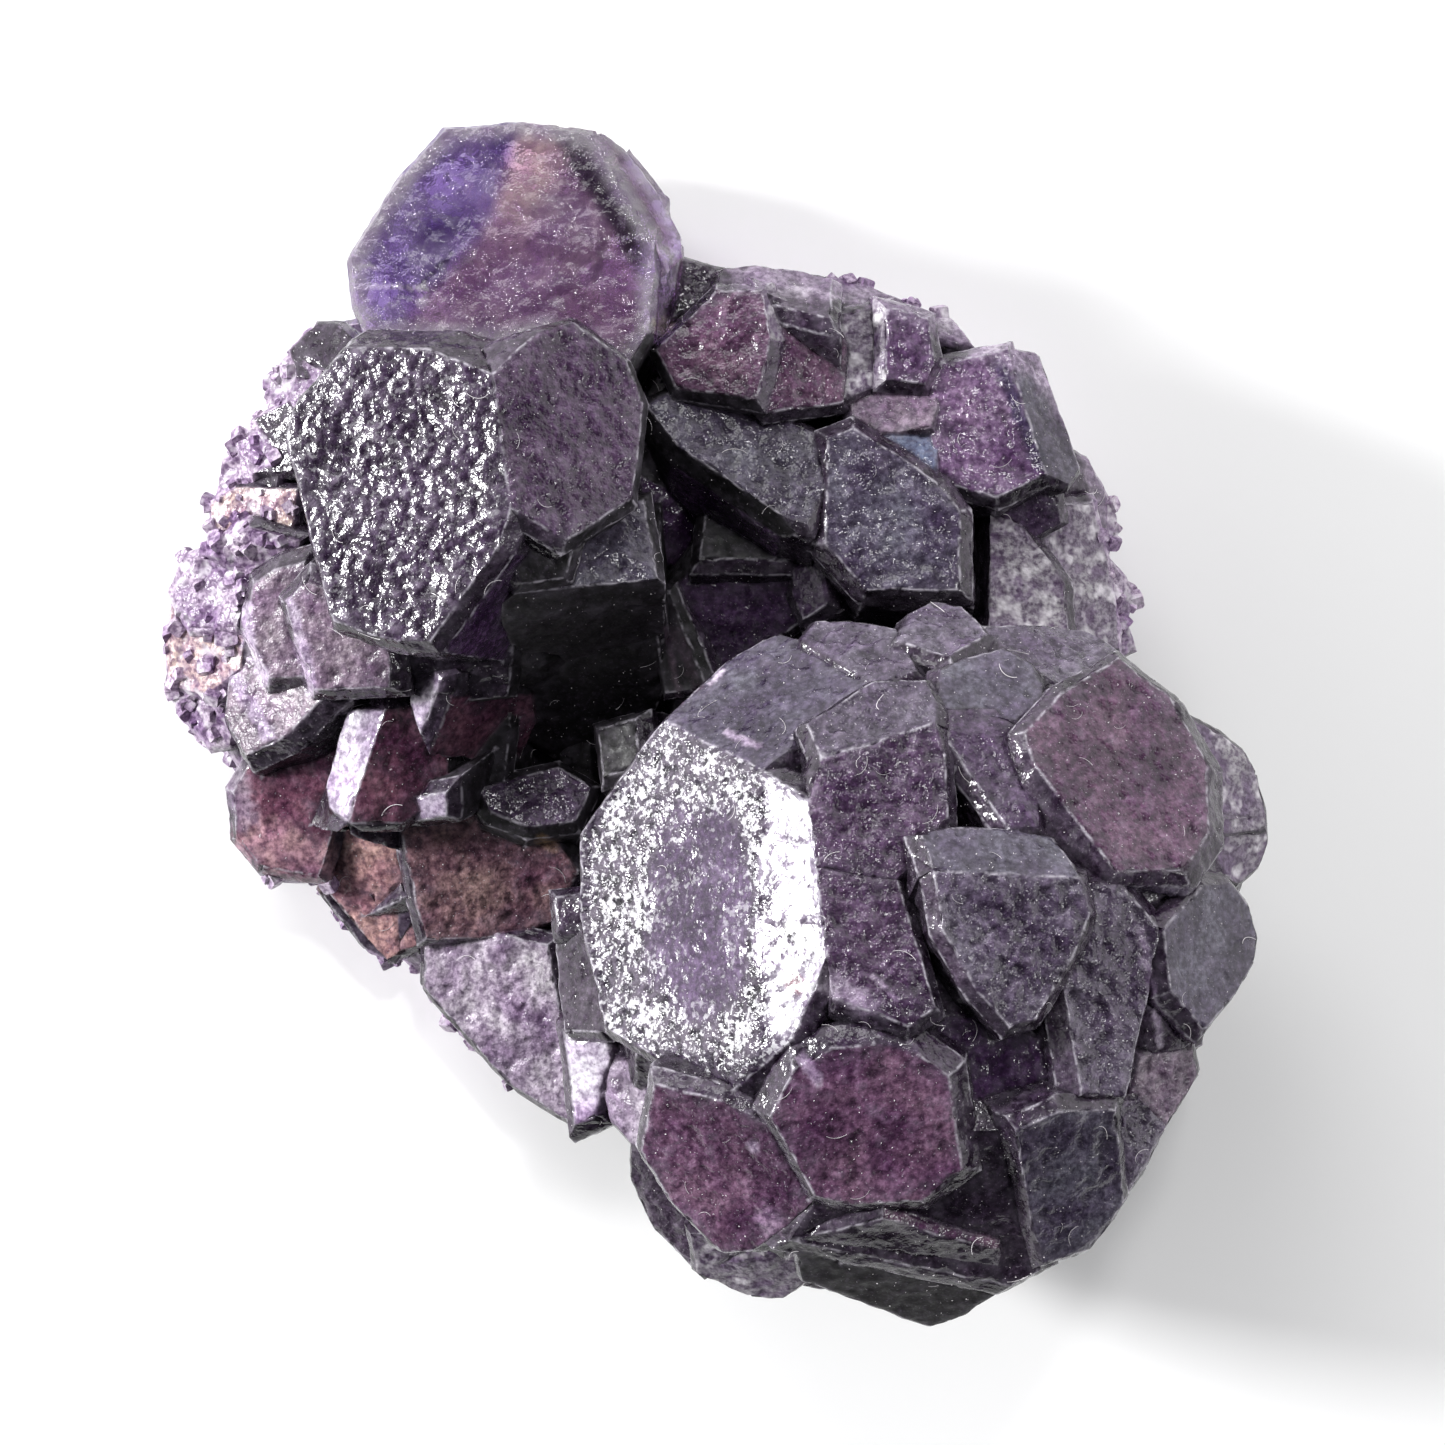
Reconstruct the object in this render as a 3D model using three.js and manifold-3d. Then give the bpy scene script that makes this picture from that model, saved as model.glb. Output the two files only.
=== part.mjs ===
// Fluorite crystal cluster: one intergrown specimen lying on the flat cut of its back.
// Units are millimetres, +Z is up, and the origin is the centre of the flat resting cut.

import * as THREE from 'three';
import { mergeVertices } from 'three/addons/utils/BufferGeometryUtils.js';
import Module from 'manifold-3d';

const wasm = await Module();
wasm.setup();

// Driving dimensions

const EYE = 320; // height of the eye above the cut, looking straight down
const SCALE_PLANE = 20; // the outlines below are millimetres as they look on a level at this height

const BALL = { x: 11.6, y: -16, z: 24, spread: 24, rise: 17 }; // dome that the ball's faces touch
const BALL_CORE = { x: 11.6, y: -16, z: 18, across: 17.4, up: 21 };
const BEVEL = 0.7; // width of the slanting facet round a face
const BEVEL_SLOPE = 50; // turn from the face to its slanting facet, degrees
const WALL_SLOPE = 86; // turn from the face to the wall below the slanting facet
const DEPTH = 9; // how far a crystal reaches into the body below its face
const PALE = { bevel: 0.45, slope: 46, depth: 6 }; // the softer lumps of the pale crust
const CLEAN = 0.03; // edges shorter than this are merged after the join

const radians = THREE.MathUtils.degToRad;

// A small repeatable source of numbers from 0 to 1
function dice(seed) {
  let state = seed;
  return () => {
    state = (state * 1664525 + 1013904223) % 4294967296;
    return state / 4294967296;
  };
}

// Geometry to solid and back

function solidFrom(geometry) {
  const bare = geometry.clone();
  bare.deleteAttribute('normal');
  bare.deleteAttribute('uv');
  const merged = mergeVertices(bare, 1e-5);
  return new wasm.Manifold(new wasm.Mesh({
    numProp: 3,
    vertProperties: new Float32Array(merged.attributes.position.array),
    triVerts: new Uint32Array(merged.index.array),
  }));
}

function geometryFrom(solid) {
  const mesh = solid.getMesh();
  const geometry = new THREE.BufferGeometry();
  geometry.setAttribute('position', new THREE.BufferAttribute(new Float32Array(mesh.vertProperties), 3));
  geometry.setIndex(new THREE.BufferAttribute(new Uint32Array(mesh.triVerts), 1));
  return geometry;
}

// Keeps what lies behind the plane through a point, seen against its outward normal
function cutAt(solid, point, normal) {
  const inward = normal.clone().negate();
  return solid.trimByPlane([inward.x, inward.y, inward.z], inward.dot(point));
}

// Places and planes

// The true place of a point that looks to be at x, y and is at height z
function place(x, y, z) {
  const shrink = (EYE - z) / (EYE - SCALE_PLANE);
  return new THREE.Vector3(x * shrink, y * shrink, z);
}

// Where the line of sight through x, y meets a plane
function placeOn(plane, x, y) {
  const start = place(x, y, 0);
  const along = place(x, y, 1).sub(start);
  const z = plane.normal.dot(plane.point.clone().sub(start)) / plane.normal.dot(along);
  return place(x, y, z);
}

function middle(corners) {
  const sum = corners.reduce(([a, b], [x, y]) => [a + x, b + y], [0, 0]);
  return sum.map((value) => value / corners.length);
}

// A normal that leans by so many degrees to +X and to +Y
function leaning([toX, toY]) {
  return new THREE.Vector3(Math.tan(radians(toX)), Math.tan(radians(toY)), 1).normalize();
}

// The plane of a face whose middle is at a height and which leans two ways
function facePlane(corners, height, lean) {
  return { point: place(...middle(corners), height), normal: leaning(lean) };
}

// The plane that touches the ball's dome under a face, raised by lift and leaned a little more
function ballPlane(corners, lift = 0, lean = [0, 0]) {
  const [x, y] = middle(corners);
  const across = new THREE.Vector2(x - BALL.x, y - BALL.y);
  const part = Math.min(across.length() / BALL.spread, 0.95);
  const height = Math.sqrt(1 - part * part);
  const tilt = THREE.MathUtils.radToDeg(Math.atan((BALL.rise / BALL.spread) * (part / height)));
  const heading = across.clone().normalize();
  const natural = [tilt * heading.x + lean[0], tilt * heading.y + lean[1]];
  return { point: place(x, y, BALL.z + BALL.rise * height + lift), normal: leaning(natural) };
}

// The outward direction across one edge of a face, in the plane of the face
function outwardAcross(a, b, centre, normal) {
  const out = b.clone().sub(a).cross(normal).normalize();
  const half = a.clone().add(b).multiplyScalar(0.5);
  return out.dot(half.sub(centre)) < 0 ? out.negate() : out;
}

function turned(normal, out, degrees) {
  const angle = radians(degrees);
  return normal.clone().multiplyScalar(Math.cos(angle)).addScaledVector(out, Math.sin(angle));
}

// The plane of a face that is folded down from a neighbour along the edge they share
function foldedPlane(neighbour, from, to, degrees) {
  const a = placeOn(neighbour.plane, ...from);
  const b = placeOn(neighbour.plane, ...to);
  const centre = placeOn(neighbour.plane, ...middle(neighbour.corners));
  const out = outwardAcross(a, b, centre, neighbour.plane.normal);
  return { point: a, normal: turned(neighbour.plane.normal, out, degrees) };
}

// One crystal: a block cut by its face, by the facets and walls round the face, and by its foot

function crystalFrom(points, normal, shape = {}) {
  const { bevel = BEVEL, slope = BEVEL_SLOPE, wall = WALL_SLOPE, depth = DEPTH } = shape;
  const { slopes = {}, bevels = {}, walled = true } = shape;
  const centre = points.reduce((sum, p) => sum.add(p), new THREE.Vector3()).divideScalar(points.length);
  const reach = 2 * Math.max(...points.map((p) => p.distanceTo(centre))) + 4 * depth;
  const block = new THREE.BoxGeometry(reach, reach, reach).translate(centre.x, centre.y, centre.z);
  let solid = cutAt(solidFrom(block), centre, normal);
  solid = cutAt(solid, centre.clone().addScaledVector(normal, -depth), normal.clone().negate());
  points.forEach((a, i) => {
    const b = points[(i + 1) % points.length];
    const out = outwardAcross(a, b, centre, normal);
    const turn = slopes[i] ?? slope;
    solid = cutAt(solid, a, turned(normal, out, turn));
    if (!walled) return;
    const width = bevels[i] ?? bevel;
    const drop = Math.tan(radians(Math.min(turn, 80))) * width;
    const foot = a.clone().addScaledVector(out, width).addScaledVector(normal, -drop);
    solid = cutAt(solid, foot, turned(normal, out, Math.max(wall, turn)));
  });
  return solid;
}

const faces = {};
const solids = [];

function crystal(name, corners, plane, shape) {
  faces[name] = { corners, plane };
  const points = corners.map(([x, y]) => placeOn(plane, x, y));
  solids.push(crystalFrom(points, plane.normal, shape));
}

// A face folded down from a named neighbour along this face's own edge from corner 0 to corner 1
function foldedCrystal(name, neighbour, degrees, corners, shape = {}) {
  const plane = foldedPlane(faces[neighbour], corners[0], corners[1], degrees);
  crystal(name, corners, plane, { ...shape, slopes: { 0: 90, ...shape.slopes } });
}

function ballCrystal(name, corners, { lift, lean, ...shape } = {}) {
  crystal(name, corners, ballPlane(corners, lift, lean), shape);
}

function bodyCrystal(name, corners, height, lean, shape) {
  crystal(name, corners, facePlane(corners, height, lean), shape);
}

// The ball: the great glazed face on its left side, and the faces round it

bodyCrystal('glazed', [
  [-3.6, 0.1], [2.5, -3.0], [5.4, -4.8], [6.5, -14.7], [4.3, -19.8],
  [0.2, -23.4], [-7.4, -19.0], [-8.9, -12.0], [-8.9, -7.0], [-5.0, -1.5],
], 34.8, [-40, 8], { slopes: { 0: 65, 1: 60, 2: 65 }, wall: 92, depth: 10 });
foldedCrystal('crown', 'glazed', 46, [
  [5.4, -4.8], [6.5, -14.7], [6.9, -17.2], [11.6, -19.0], [13.3, -17.8], [11.0, -10.0], [8.6, -4.2],
]);
foldedCrystal('crown wing', 'glazed', 46, [
  [5.4, -4.8], [5.9, -9.0], [10.9, -9.9], [14.1, -6.0], [13.9, -2.0], [13.3, 0.0], [6.2, -2.2],
], { slopes: { 5: 35 } });
foldedCrystal('crown roof', 'crown wing', 26, [
  [13.3, 0.0], [6.2, -2.2], [5.2, 0.0], [9.5, 2.6], [12.6, 2.7], [13.4, 1.2],
]);
foldedCrystal('grey brow', 'glazed', 44, [
  [-3.6, 0.1], [2.5, -3.0], [9.3, 2.4], [7.8, 4.4], [3.4, 5.5], [0.5, 4.0], [-2.6, 1.2],
]);
ballCrystal('brow step', [[4.9, 5.2], [5.8, 6.4], [8.2, 6.4], [10.8, 5.9], [12.2, 3.2], [9.4, 2.4]], { lift: -1.6 });
ballCrystal('rim knot', [
  [10.8, 5.2], [11.6, 6.8], [13.2, 7.6], [14.9, 7.3], [16.6, 5.6], [14.2, 4.2],
], { lift: -1.2 });
ballCrystal('rim slab', [
  [16.2, 6.1], [20.0, 6.1], [22.6, 5.8], [24.9, 4.4], [21.4, 2.1], [19.2, 3.6],
], { lift: -0.6 });
ballCrystal('upper plate', [
  [13.4, 1.1], [13.6, 3.4], [15.5, 4.1], [17.5, 4.6], [19.2, 3.8], [20.1, 2.5], [20.0, 1.5], [18.3, 0.2],
], { lift: -0.2, slopes: { 6: 30 } });
ballCrystal('lozenge', [
  [13.4, 0.9], [17.0, 0.9], [18.6, -0.5], [19.6, -4.0], [19.8, -6.4], [17.9, -6.6], [15.6, -3.4], [13.4, -0.2],
], { lift: -0.4 });
ballCrystal('right window', [
  [18.9, -0.6], [21.3, 2.0], [24.8, 4.0], [28.0, 1.5], [30.3, -2.5], [30.4, -7.0], [28.8, -9.2],
  [24.6, -9.3], [21.6, -5.5], [19.6, -2.8],
], {
  lift: 1.2,
  lean: [-6, -4],
  slopes: { 2: 45, 3: 40, 4: 38, 5: 40, 7: 52, 8: 52 },
  bevels: { 2: 1.4, 3: 1.6, 4: 1.7, 5: 1.4, 7: 2.0, 8: 1.8 },
  wall: 92,
});
ballCrystal('middle front', [
  [13.2, -9.2], [22.4, -9.7], [23.0, -12.0], [22.0, -14.5], [19.6, -18.5], [18.0, -19.0], [16.0, -16.8],
  [13.8, -13.0],
], { lift: 0.9, slopes: { 0: 60 } });
foldedCrystal('middle band', 'middle front', 36, [
  [13.2, -9.2], [22.4, -9.7], [20.6, -7.1], [17.9, -6.6], [14.2, -6.6], [12.4, -7.0],
]);
ballCrystal('long right', [
  [22.2, -10.0], [25.0, -10.2], [27.4, -13.0], [26.6, -17.0], [25.2, -23.4], [22.5, -23.3], [21.4, -17.0],
], { lift: 0.2, slopes: { 1: 45, 2: 62, 3: 66 }, bevel: 1 });
ballCrystal('shaded wedge', [
  [22.3, -9.4], [24.4, -8.8], [30.6, -10.0], [29.0, -11.4], [27.2, -12.9],
], { lift: -0.6, lean: [0, -14] });
ballCrystal('right flank', [
  [27.6, -12.9], [30.0, -10.2], [31.8, -10.0], [33.0, -11.5], [33.4, -13.5], [33.2, -15.0], [32.0, -17.0],
  [30.2, -19.2], [28.0, -16.8],
], { lift: 0.1, wall: 96 });
ballCrystal('right notch', [
  [27.9, -16.9], [30.1, -19.1], [28.0, -21.5], [26.3, -20.2], [26.6, -18.2],
], { lift: -1.2, lean: [0, -18] });
ballCrystal('right foot', [
  [25.4, -23.5], [26.1, -20.9], [29.4, -20.4], [29.7, -22.0], [27.8, -25.2], [26.0, -24.0],
], { lift: -1.6 });
ballCrystal('low corner', [
  [24.9, -23.8], [26.0, -23.5], [27.8, -25.2], [26.5, -27.8], [25.2, -29.6], [25.0, -26.0],
], { lift: -1.2, lean: [6, 0] });
ballCrystal('purple well', [
  [11.8, -20.0], [13.3, -18.0], [17.0, -18.9], [19.9, -19.8], [20.4, -22.2], [18.2, -25.0], [17.0, -26.2],
  [14.6, -26.2],
], { lift: -1.4, lean: [0, 4] });
ballCrystal('hexagon', [
  [3.0, -24.6], [4.4, -21.8], [6.8, -20.4], [9.4, -20.1], [12.3, -20.8], [14.1, -22.1], [15.0, -28.0],
  [12.4, -29.9], [8.0, -30.1], [5.8, -29.6],
], { lift: 0.6, slopes: { 1: 38, 2: 34, 3: 34 }, bevel: 1.1 });
ballCrystal('left window', [
  [-4.3, -22.6], [-0.2, -23.6], [3.2, -25.4], [6.2, -29.4], [4.0, -31.5], [1.8, -33.1], [0.0, -33.1],
  [-3.2, -30.0], [-5.1, -26.8],
], { lift: 0.2, slopes: { 5: 62 }, wall: 94 });
ballCrystal('low front', [
  [4.2, -32.4], [6.0, -29.5], [9.5, -27.5], [15.0, -25.6], [18.3, -25.4], [19.6, -31.5], [19.9, -34.2],
  [18.0, -35.2], [12.0, -34.0],
], { lift: -0.5, slopes: { 7: 26, 8: 26 }, bevel: 1.2 });
ballCrystal('low lip', [
  [4.4, -32.4], [10.0, -31.0], [17.0, -33.0], [17.6, -35.4], [15.0, -37.1], [13.0, -37.8], [8.5, -36.2],
  [5.0, -34.9],
], { lift: -0.8, lean: [0, -6], bevel: 0.4, wall: 98 });
ballCrystal('grey shield', [
  [18.3, -25.4], [21.2, -24.3], [24.6, -24.3], [25.1, -30.0], [23.0, -33.0], [20.1, -33.9], [19.3, -31.0],
], { lift: 0.9, lean: [4, -2], slopes: { 0: 42, 6: 66 }, wall: 94 });
bodyCrystal('under glaze', [
  [-10.5, -13.0], [-8.8, -12.5], [-6.0, -14.5], [-6.0, -18.5], [-7.6, -19.4], [-9.8, -19.3], [-10.2, -17.0],
], 24.6, [-48, -4], { wall: 92 });
bodyCrystal('bright blade', [
  [-9.9, -19.2], [-8.9, -19.3], [-7.2, -19.9], [-7.0, -21.0], [-8.0, -24.7], [-9.2, -25.2],
], 22.6, [-30, -6], { slopes: { 5: 30 }, bevel: 0.9, wall: 94 });
bodyCrystal('grain block', [
  [-7.6, -22.6], [-6.8, -21.2], [-4.3, -21.0], [-4.1, -23.0], [-4.6, -26.5], [-5.3, -26.8], [-7.0, -25.0],
], 24.4, [-44, -10]);
bodyCrystal('left toe', [
  [-5.7, -26.8], [-4.0, -27.0], [1.0, -33.0], [-1.4, -34.6], [-4.3, -31.6], [-5.7, -28.6],
], 24.5, [-34, -22], { bevel: 0.4, wall: 90, depth: 12 });
bodyCrystal('low toe', [
  [-1.6, -34.4], [-2.0, -32.0], [4.0, -32.0], [5.2, -35.0], [3.8, -36.0], [1.7, -35.9],
], 25.0, [-6, -44], { bevel: 0.4, wall: 96 });
bodyCrystal('small ledge', [[-10.5, -10.9], [-8.6, -10.7], [-7.5, -13.0], [-10.3, -13.0]], 24.0, [-20, 10]);

// The left group: the great grained face, the faces folded from it and the blocks below it

bodyCrystal('grained', [
  [-23.5, 23.5], [-18.5, 23.4], [-14.4, 21.8], [-13.2, 13.4], [-14.0, 11.0], [-18.2, 5.1],
  [-20.2, 5.0], [-24.4, 6.3], [-27.3, 17.9], [-26.6, 19.9],
], 25.4, [-22, 3], {
  slopes: { 0: 60, 1: 58, 2: 68, 3: 60, 4: 58, 6: 62, 7: 64, 8: 62, 9: 60 },
  bevels: { 0: 1.4, 1: 1.7 },
  wall: 90,
  depth: 11,
});
foldedCrystal('plum', 'grained', 46, [
  [-14.4, 21.8], [-13.2, 13.4], [-9.8, 11.4], [-5.6, 14.0], [-4.9, 20.0], [-6.0, 22.6], [-9.3, 25.0],
  [-11.5, 24.4],
], { depth: 11, slopes: { 6: 60, 7: 56 }, bevels: { 6: 0.4, 7: 1.4 } });
bodyCrystal('dome corner', [
  [-14.0, 11.4], [-12.3, 13.0], [-9.3, 10.8], [-9.8, 9.0], [-12.6, 8.6],
], 25.6, [8, -12]);
bodyCrystal('grey step', [
  [-12.9, 8.0], [-4.1, 9.0], [-4.9, 14.0], [-8.0, 13.3], [-11.0, 11.0], [-12.5, 9.2],
], 22.6, [8, 20], { slopes: { 0: 75 }, depth: 12 });
bodyCrystal('black cliff', [
  [-13.0, 7.4], [-4.4, 7.9], [-3.6, 2.2], [-5.0, -1.2], [-9.0, -3.2], [-13.2, -0.6],
], 12.6, [6, -46], { depth: 12 });
bodyCrystal('under block', [
  [-20.8, 4.4], [-16.0, 9.5], [-14.0, 10.6], [-12.8, 7.6], [-13.4, 1.6], [-17.0, 1.2], [-20.6, 2.0],
], 19.0, [4, -34], { depth: 10 });
bodyCrystal('left stack', [
  [-26.0, 8.8], [-22.0, 7.5], [-20.8, 4.0], [-20.8, 2.2], [-25.6, 2.0], [-27.4, 7.3],
], 18.6, [-18, -14], { slopes: { 4: 55, 5: 55 }, bevel: 0.9 });
bodyCrystal('left stack back', [
  [-29.3, 8.7], [-28.0, 9.5], [-26.2, 10.0], [-25.4, 6.0], [-26.1, 2.9], [-28.4, 2.7], [-29.8, 5.8],
], 14.8, [-20, -8], { bevel: 1 });
bodyCrystal('left shard', [
  [-30.8, 3.6], [-30.0, 4.2], [-27.0, 3.0], [-25.2, 1.4], [-27.6, -1.0], [-29.8, -2.0], [-31.1, 0.4],
], 12.0, [-34, 4], { bevel: 1 });
bodyCrystal('lit block', [
  [-21.1, 0.8], [-23.5, -6.3], [-20.0, -6.3], [-17.2, -4.4], [-17.0, 1.2],
], 14.6, [14, -8], { slopes: { 0: 70 } });
foldedCrystal('lit wall', 'lit block', 54, [
  [-21.1, 0.8], [-23.5, -6.3], [-24.6, -5.3], [-24.8, -4.0], [-24.1, -1.4], [-23.4, 0.8],
]);
bodyCrystal('lit chip', [[-19.1, 4.2], [-17.6, 2.8], [-17.9, 1.8], [-18.9, -0.7], [-19.6, 1.2]], 17.0, [-42, -6]);
bodyCrystal('lit foot', [[-20.1, -4.9], [-17.3, -4.4], [-17.3, -5.9], [-20.1, -6.3]], 14.2, [-30, -24]);
bodyCrystal('ledge', [
  [-17.2, 1.2], [-14.4, 1.8], [-13.2, 0.6], [-13.6, -3.6], [-17.2, -4.3],
], 13.0, [6, -10]);
bodyCrystal('smoke patch', [
  [-15.2, -4.2], [-13.0, -3.4], [-10.2, -2.8], [-8.2, -4.0], [-9.2, -6.2], [-12.0, -6.5], [-14.4, -5.6],
], 12.4, [10, 16]);
bodyCrystal('wedge', [[-7.8, -0.4], [-5.4, 0.2], [-5.2, -2.8], [-7.4, -3.4]], 13.4, [-26, 12]);
bodyCrystal('lower left', [
  [-29.6, -2.6], [-28.0, -1.0], [-25.6, 1.0], [-23.6, 0.4], [-24.2, -6.4], [-25.2, -9.6], [-28.8, -9.1],
  [-30.4, -7.2], [-30.6, -4.4],
], 9.6, [-8, -8], { bevel: 0.7, wall: 94 });
bodyCrystal('brown face', [
  [-20.2, -6.3], [-15.0, -5.2], [-11.0, -6.8], [-9.0, -9.2], [-10.6, -12.4], [-13.0, -13.4], [-18.6, -13.6],
], 10.6, [2, -16]);
bodyCrystal('rose face', [
  [-25.2, -6.4], [-20.4, -6.2], [-18.8, -13.8], [-21.0, -14.8], [-22.5, -13.2], [-25.2, -9.8],
], 7.6, [-16, -24], { wall: 94 });
bodyCrystal('lilac slab', [
  [-18.6, -14.0], [-14.0, -13.2], [-10.9, -14.0], [-10.0, -19.0], [-9.6, -24.9], [-13.0, -22.8],
  [-16.0, -19.6], [-18.6, -16.6],
], 8.4, [-18, -14], { wall: 94 });

// The middle valley

bodyCrystal('silver roof', [
  [-4.9, 19.9], [-2.8, 20.9], [2.3, 19.7], [6.6, 17.7], [6.3, 14.6], [5.3, 12.4], [3.8, 12.9], [-2.7, 17.2],
], 18.2, [2, 20], { slopes: { 6: 66, 7: 66 } });
bodyCrystal('pentagon', [
  [6.6, 17.8], [8.1, 18.4], [10.8, 16.8], [13.6, 14.9], [14.8, 13.2], [14.8, 8.3], [9.0, 8.3], [6.4, 11.2],
], 19.2, [0, 6], { slopes: { 5: 62, 6: 60 }, bevel: 0.9 });
bodyCrystal('valley left', [
  [-5.4, 19.8], [-2.7, 17.2], [-0.2, 14.8], [-1.4, 10.2], [-4.2, 9.6], [-5.2, 14.6],
], 13.6, [26, -18]);
bodyCrystal('speckled step', [[-1.0, 13.4], [3.9, 13.4], [4.4, 10.2], [-1.4, 10.2]], 15.0, [-2, 26]);
bodyCrystal('valley floor', [
  [-2.8, 8.6], [-1.6, 10.1], [4.3, 10.1], [4.8, 6.2], [2.2, 4.5], [-1.2, 2.4], [-3.2, 6.5],
], 14.0, [-4, -14]);
bodyCrystal('pale rib', [[-4.8, 8.0], [-3.4, 8.2], [-1.0, 2.2], [-3.6, 1.8]], 14.4, [-24, -8], { bevel: 0.5 });
bodyCrystal('narrow step', [[4.5, 12.2], [6.3, 11.2], [6.6, 7.4], [5.0, 6.4], [4.3, 8.0]], 16.0, [-22, 0]);
bodyCrystal('behind ball', [
  [-3.0, 1.6], [-1.0, 3.2], [2.2, 5.2], [5.0, 6.4], [7.6, 6.2], [6.0, -2.0], [-4.0, -2.0],
], 11.0, [-10, -6]);
bodyCrystal('recess left', [[-4.4, 2.0], [-1.0, 0.8], [-3.0, -6.0], [-9.0, -6.0], [-9.4, -2.4]], 8.5, [14, -10]);
bodyCrystal('recess right', [[14.6, 8.2], [17.2, 6.6], [16.4, 13.6], [15.0, 13.4]], 11.6, [-8, -6]);

// The right group

bodyCrystal('high left', [
  [-4.1, 23.3], [-0.4, 27.0], [2.5, 27.0], [3.0, 24.0], [2.2, 20.2], [-2.9, 20.9],
], 18.4, [-14, 8], { slopes: { 2: 58, 3: 58 } });
bodyCrystal('high right', [
  [2.5, 27.0], [6.7, 25.3], [7.8, 23.5], [7.6, 20.0], [3.0, 19.4], [2.2, 20.3],
], 18.0, [14, 4]);
bodyCrystal('high back', [
  [-0.4, 27.0], [0.1, 28.4], [2.0, 28.6], [4.0, 28.4], [6.8, 27.8], [6.8, 25.3],
], 16.6, [4, 46]);
bodyCrystal('dark panel', [
  [6.7, 25.4], [10.2, 26.0], [10.5, 21.4], [7.6, 20.2], [6.9, 22.5],
], 16.8, [6, 10]);
bodyCrystal('rim fringe', [
  [6.8, 27.9], [8.4, 27.6], [10.2, 26.9], [14.5, 25.1], [15.5, 23.8], [7.0, 24.8],
], 13.6, [14, 44], { bevel: 0.4, wall: 96 });
bodyCrystal('purple block', [[10.2, 26.0], [12.9, 25.3], [13.2, 22.4], [12.6, 21.2], [10.2, 21.5]], 17.6, [6, 8]);
bodyCrystal('frosted patch', [
  [10.3, 21.5], [12.6, 21.4], [13.5, 20.0], [13.0, 18.5], [10.0, 18.1], [8.1, 18.7], [8.0, 20.1],
], 17.2, [-4, 18]);
bodyCrystal('blue patch', [[10.0, 18.1], [13.0, 18.7], [13.5, 17.0], [13.3, 15.0], [10.7, 16.3]], 17.8, [6, 20]);
bodyCrystal('zoned', [
  [13.1, 22.4], [17.8, 23.3], [20.2, 15.5], [17.2, 14.1], [13.8, 15.0], [12.9, 18.5],
], 17.4, [2, 8], { slopes: { 1: 60 } });
foldedCrystal('zoned side', 'zoned', 40, [
  [17.8, 23.3], [20.2, 15.5], [21.7, 14.9], [22.4, 15.9], [20.9, 20.0], [19.7, 23.0],
], { bevel: 0.4, wall: 92 });
bodyCrystal('zoned foot', [
  [17.2, 14.3], [20.8, 14.9], [21.1, 12.5], [19.2, 11.4], [16.9, 13.4],
], 15.4, [10, -20]);
bodyCrystal('triangle', [
  [16.7, 13.8], [18.8, 12.2], [20.4, 10.2], [21.4, 8.7], [21.6, 5.6], [16.7, 5.2],
], 15.8, [4, 8], { slopes: { 1: 58, 5: 75 } });
bodyCrystal('grey cheek', [
  [19.2, 12.0], [21.2, 13.6], [23.2, 13.8], [24.2, 10.0], [24.6, 7.0], [24.8, 4.6], [21.2, 4.6], [19.8, 9.4],
], 12.6, [28, 4], { wall: 94 });

// The large clearer crystal at the top

bodyCrystal('top clear', [
  [-23.2, 29.1], [-20.0, 34.2], [-17.3, 37.1], [-13.0, 37.4], [-8.2, 36.8], [-4.2, 30.0], [-4.6, 24.4],
  [-6.4, 21.4], [-21.0, 22.4], [-22.8, 26.0],
], 18.2, [-2, 8], { slopes: { 0: 66, 1: 66, 2: 70, 4: 60 }, bevel: 0.4, wall: 94, depth: 12 });
foldedCrystal('top strip', 'top clear', 40, [
  [-8.2, 36.8], [-4.2, 30.0], [-3.3, 28.6], [-2.6, 29.4], [-2.6, 30.4], [-4.0, 32.9], [-5.9, 35.7],
  [-7.4, 36.8],
], { bevel: 0.3, wall: 94, depth: 10 });
bodyCrystal('top foot', [
  [-4.9, 29.0], [-2.7, 29.2], [-3.0, 27.0], [-3.9, 24.2], [-5.6, 23.0],
], 14.0, [26, 2]);

// The pale crust where it shows past the dark crystals: lumps on the left and on the right edge

bodyCrystal('crust top', [
  [-24.1, 24.9], [-25.5, 24.9], [-27.1, 23.3], [-26.6, 21.6], [-24.2, 21.4], [-22.6, 23.4],
], 12.0, [-26, 22], PALE);
bodyCrystal('crust second', [
  [-27.0, 23.1], [-28.1, 22.0], [-28.6, 20.6], [-27.5, 19.4], [-25.6, 19.6], [-25.0, 22.0],
], 11.4, [-38, 14], PALE);
bodyCrystal('crust third', [
  [-27.2, 20.0], [-29.3, 19.0], [-30.4, 17.4], [-29.4, 15.6], [-27.0, 15.8], [-25.6, 18.2],
], 11.6, [-30, 10], PALE);
bodyCrystal('crust fourth', [
  [-29.8, 16.8], [-31.3, 16.2], [-31.4, 14.9], [-30.4, 14.0], [-28.0, 14.4], [-27.6, 16.4],
], 10.4, [-36, -4], PALE);
bodyCrystal('peach lump', [
  [-30.5, 14.7], [-32.0, 13.7], [-31.8, 11.3], [-30.2, 10.4], [-27.0, 12.2], [-26.6, 14.6],
], 11.2, [-24, 2], PALE);
bodyCrystal('crust flake', [
  [-32.0, 10.4], [-29.6, 12.2], [-26.4, 11.4], [-26.8, 9.8], [-30.2, 9.2],
], 12.2, [-16, -20], PALE);
bodyCrystal('crust shoulder', [
  [-32.4, 10.8], [-33.8, 10.2], [-34.6, 8.0], [-33.4, 5.8], [-30.4, 6.0], [-29.6, 8.8], [-31.0, 9.8],
], 10.2, [-34, 4], PALE);
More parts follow.
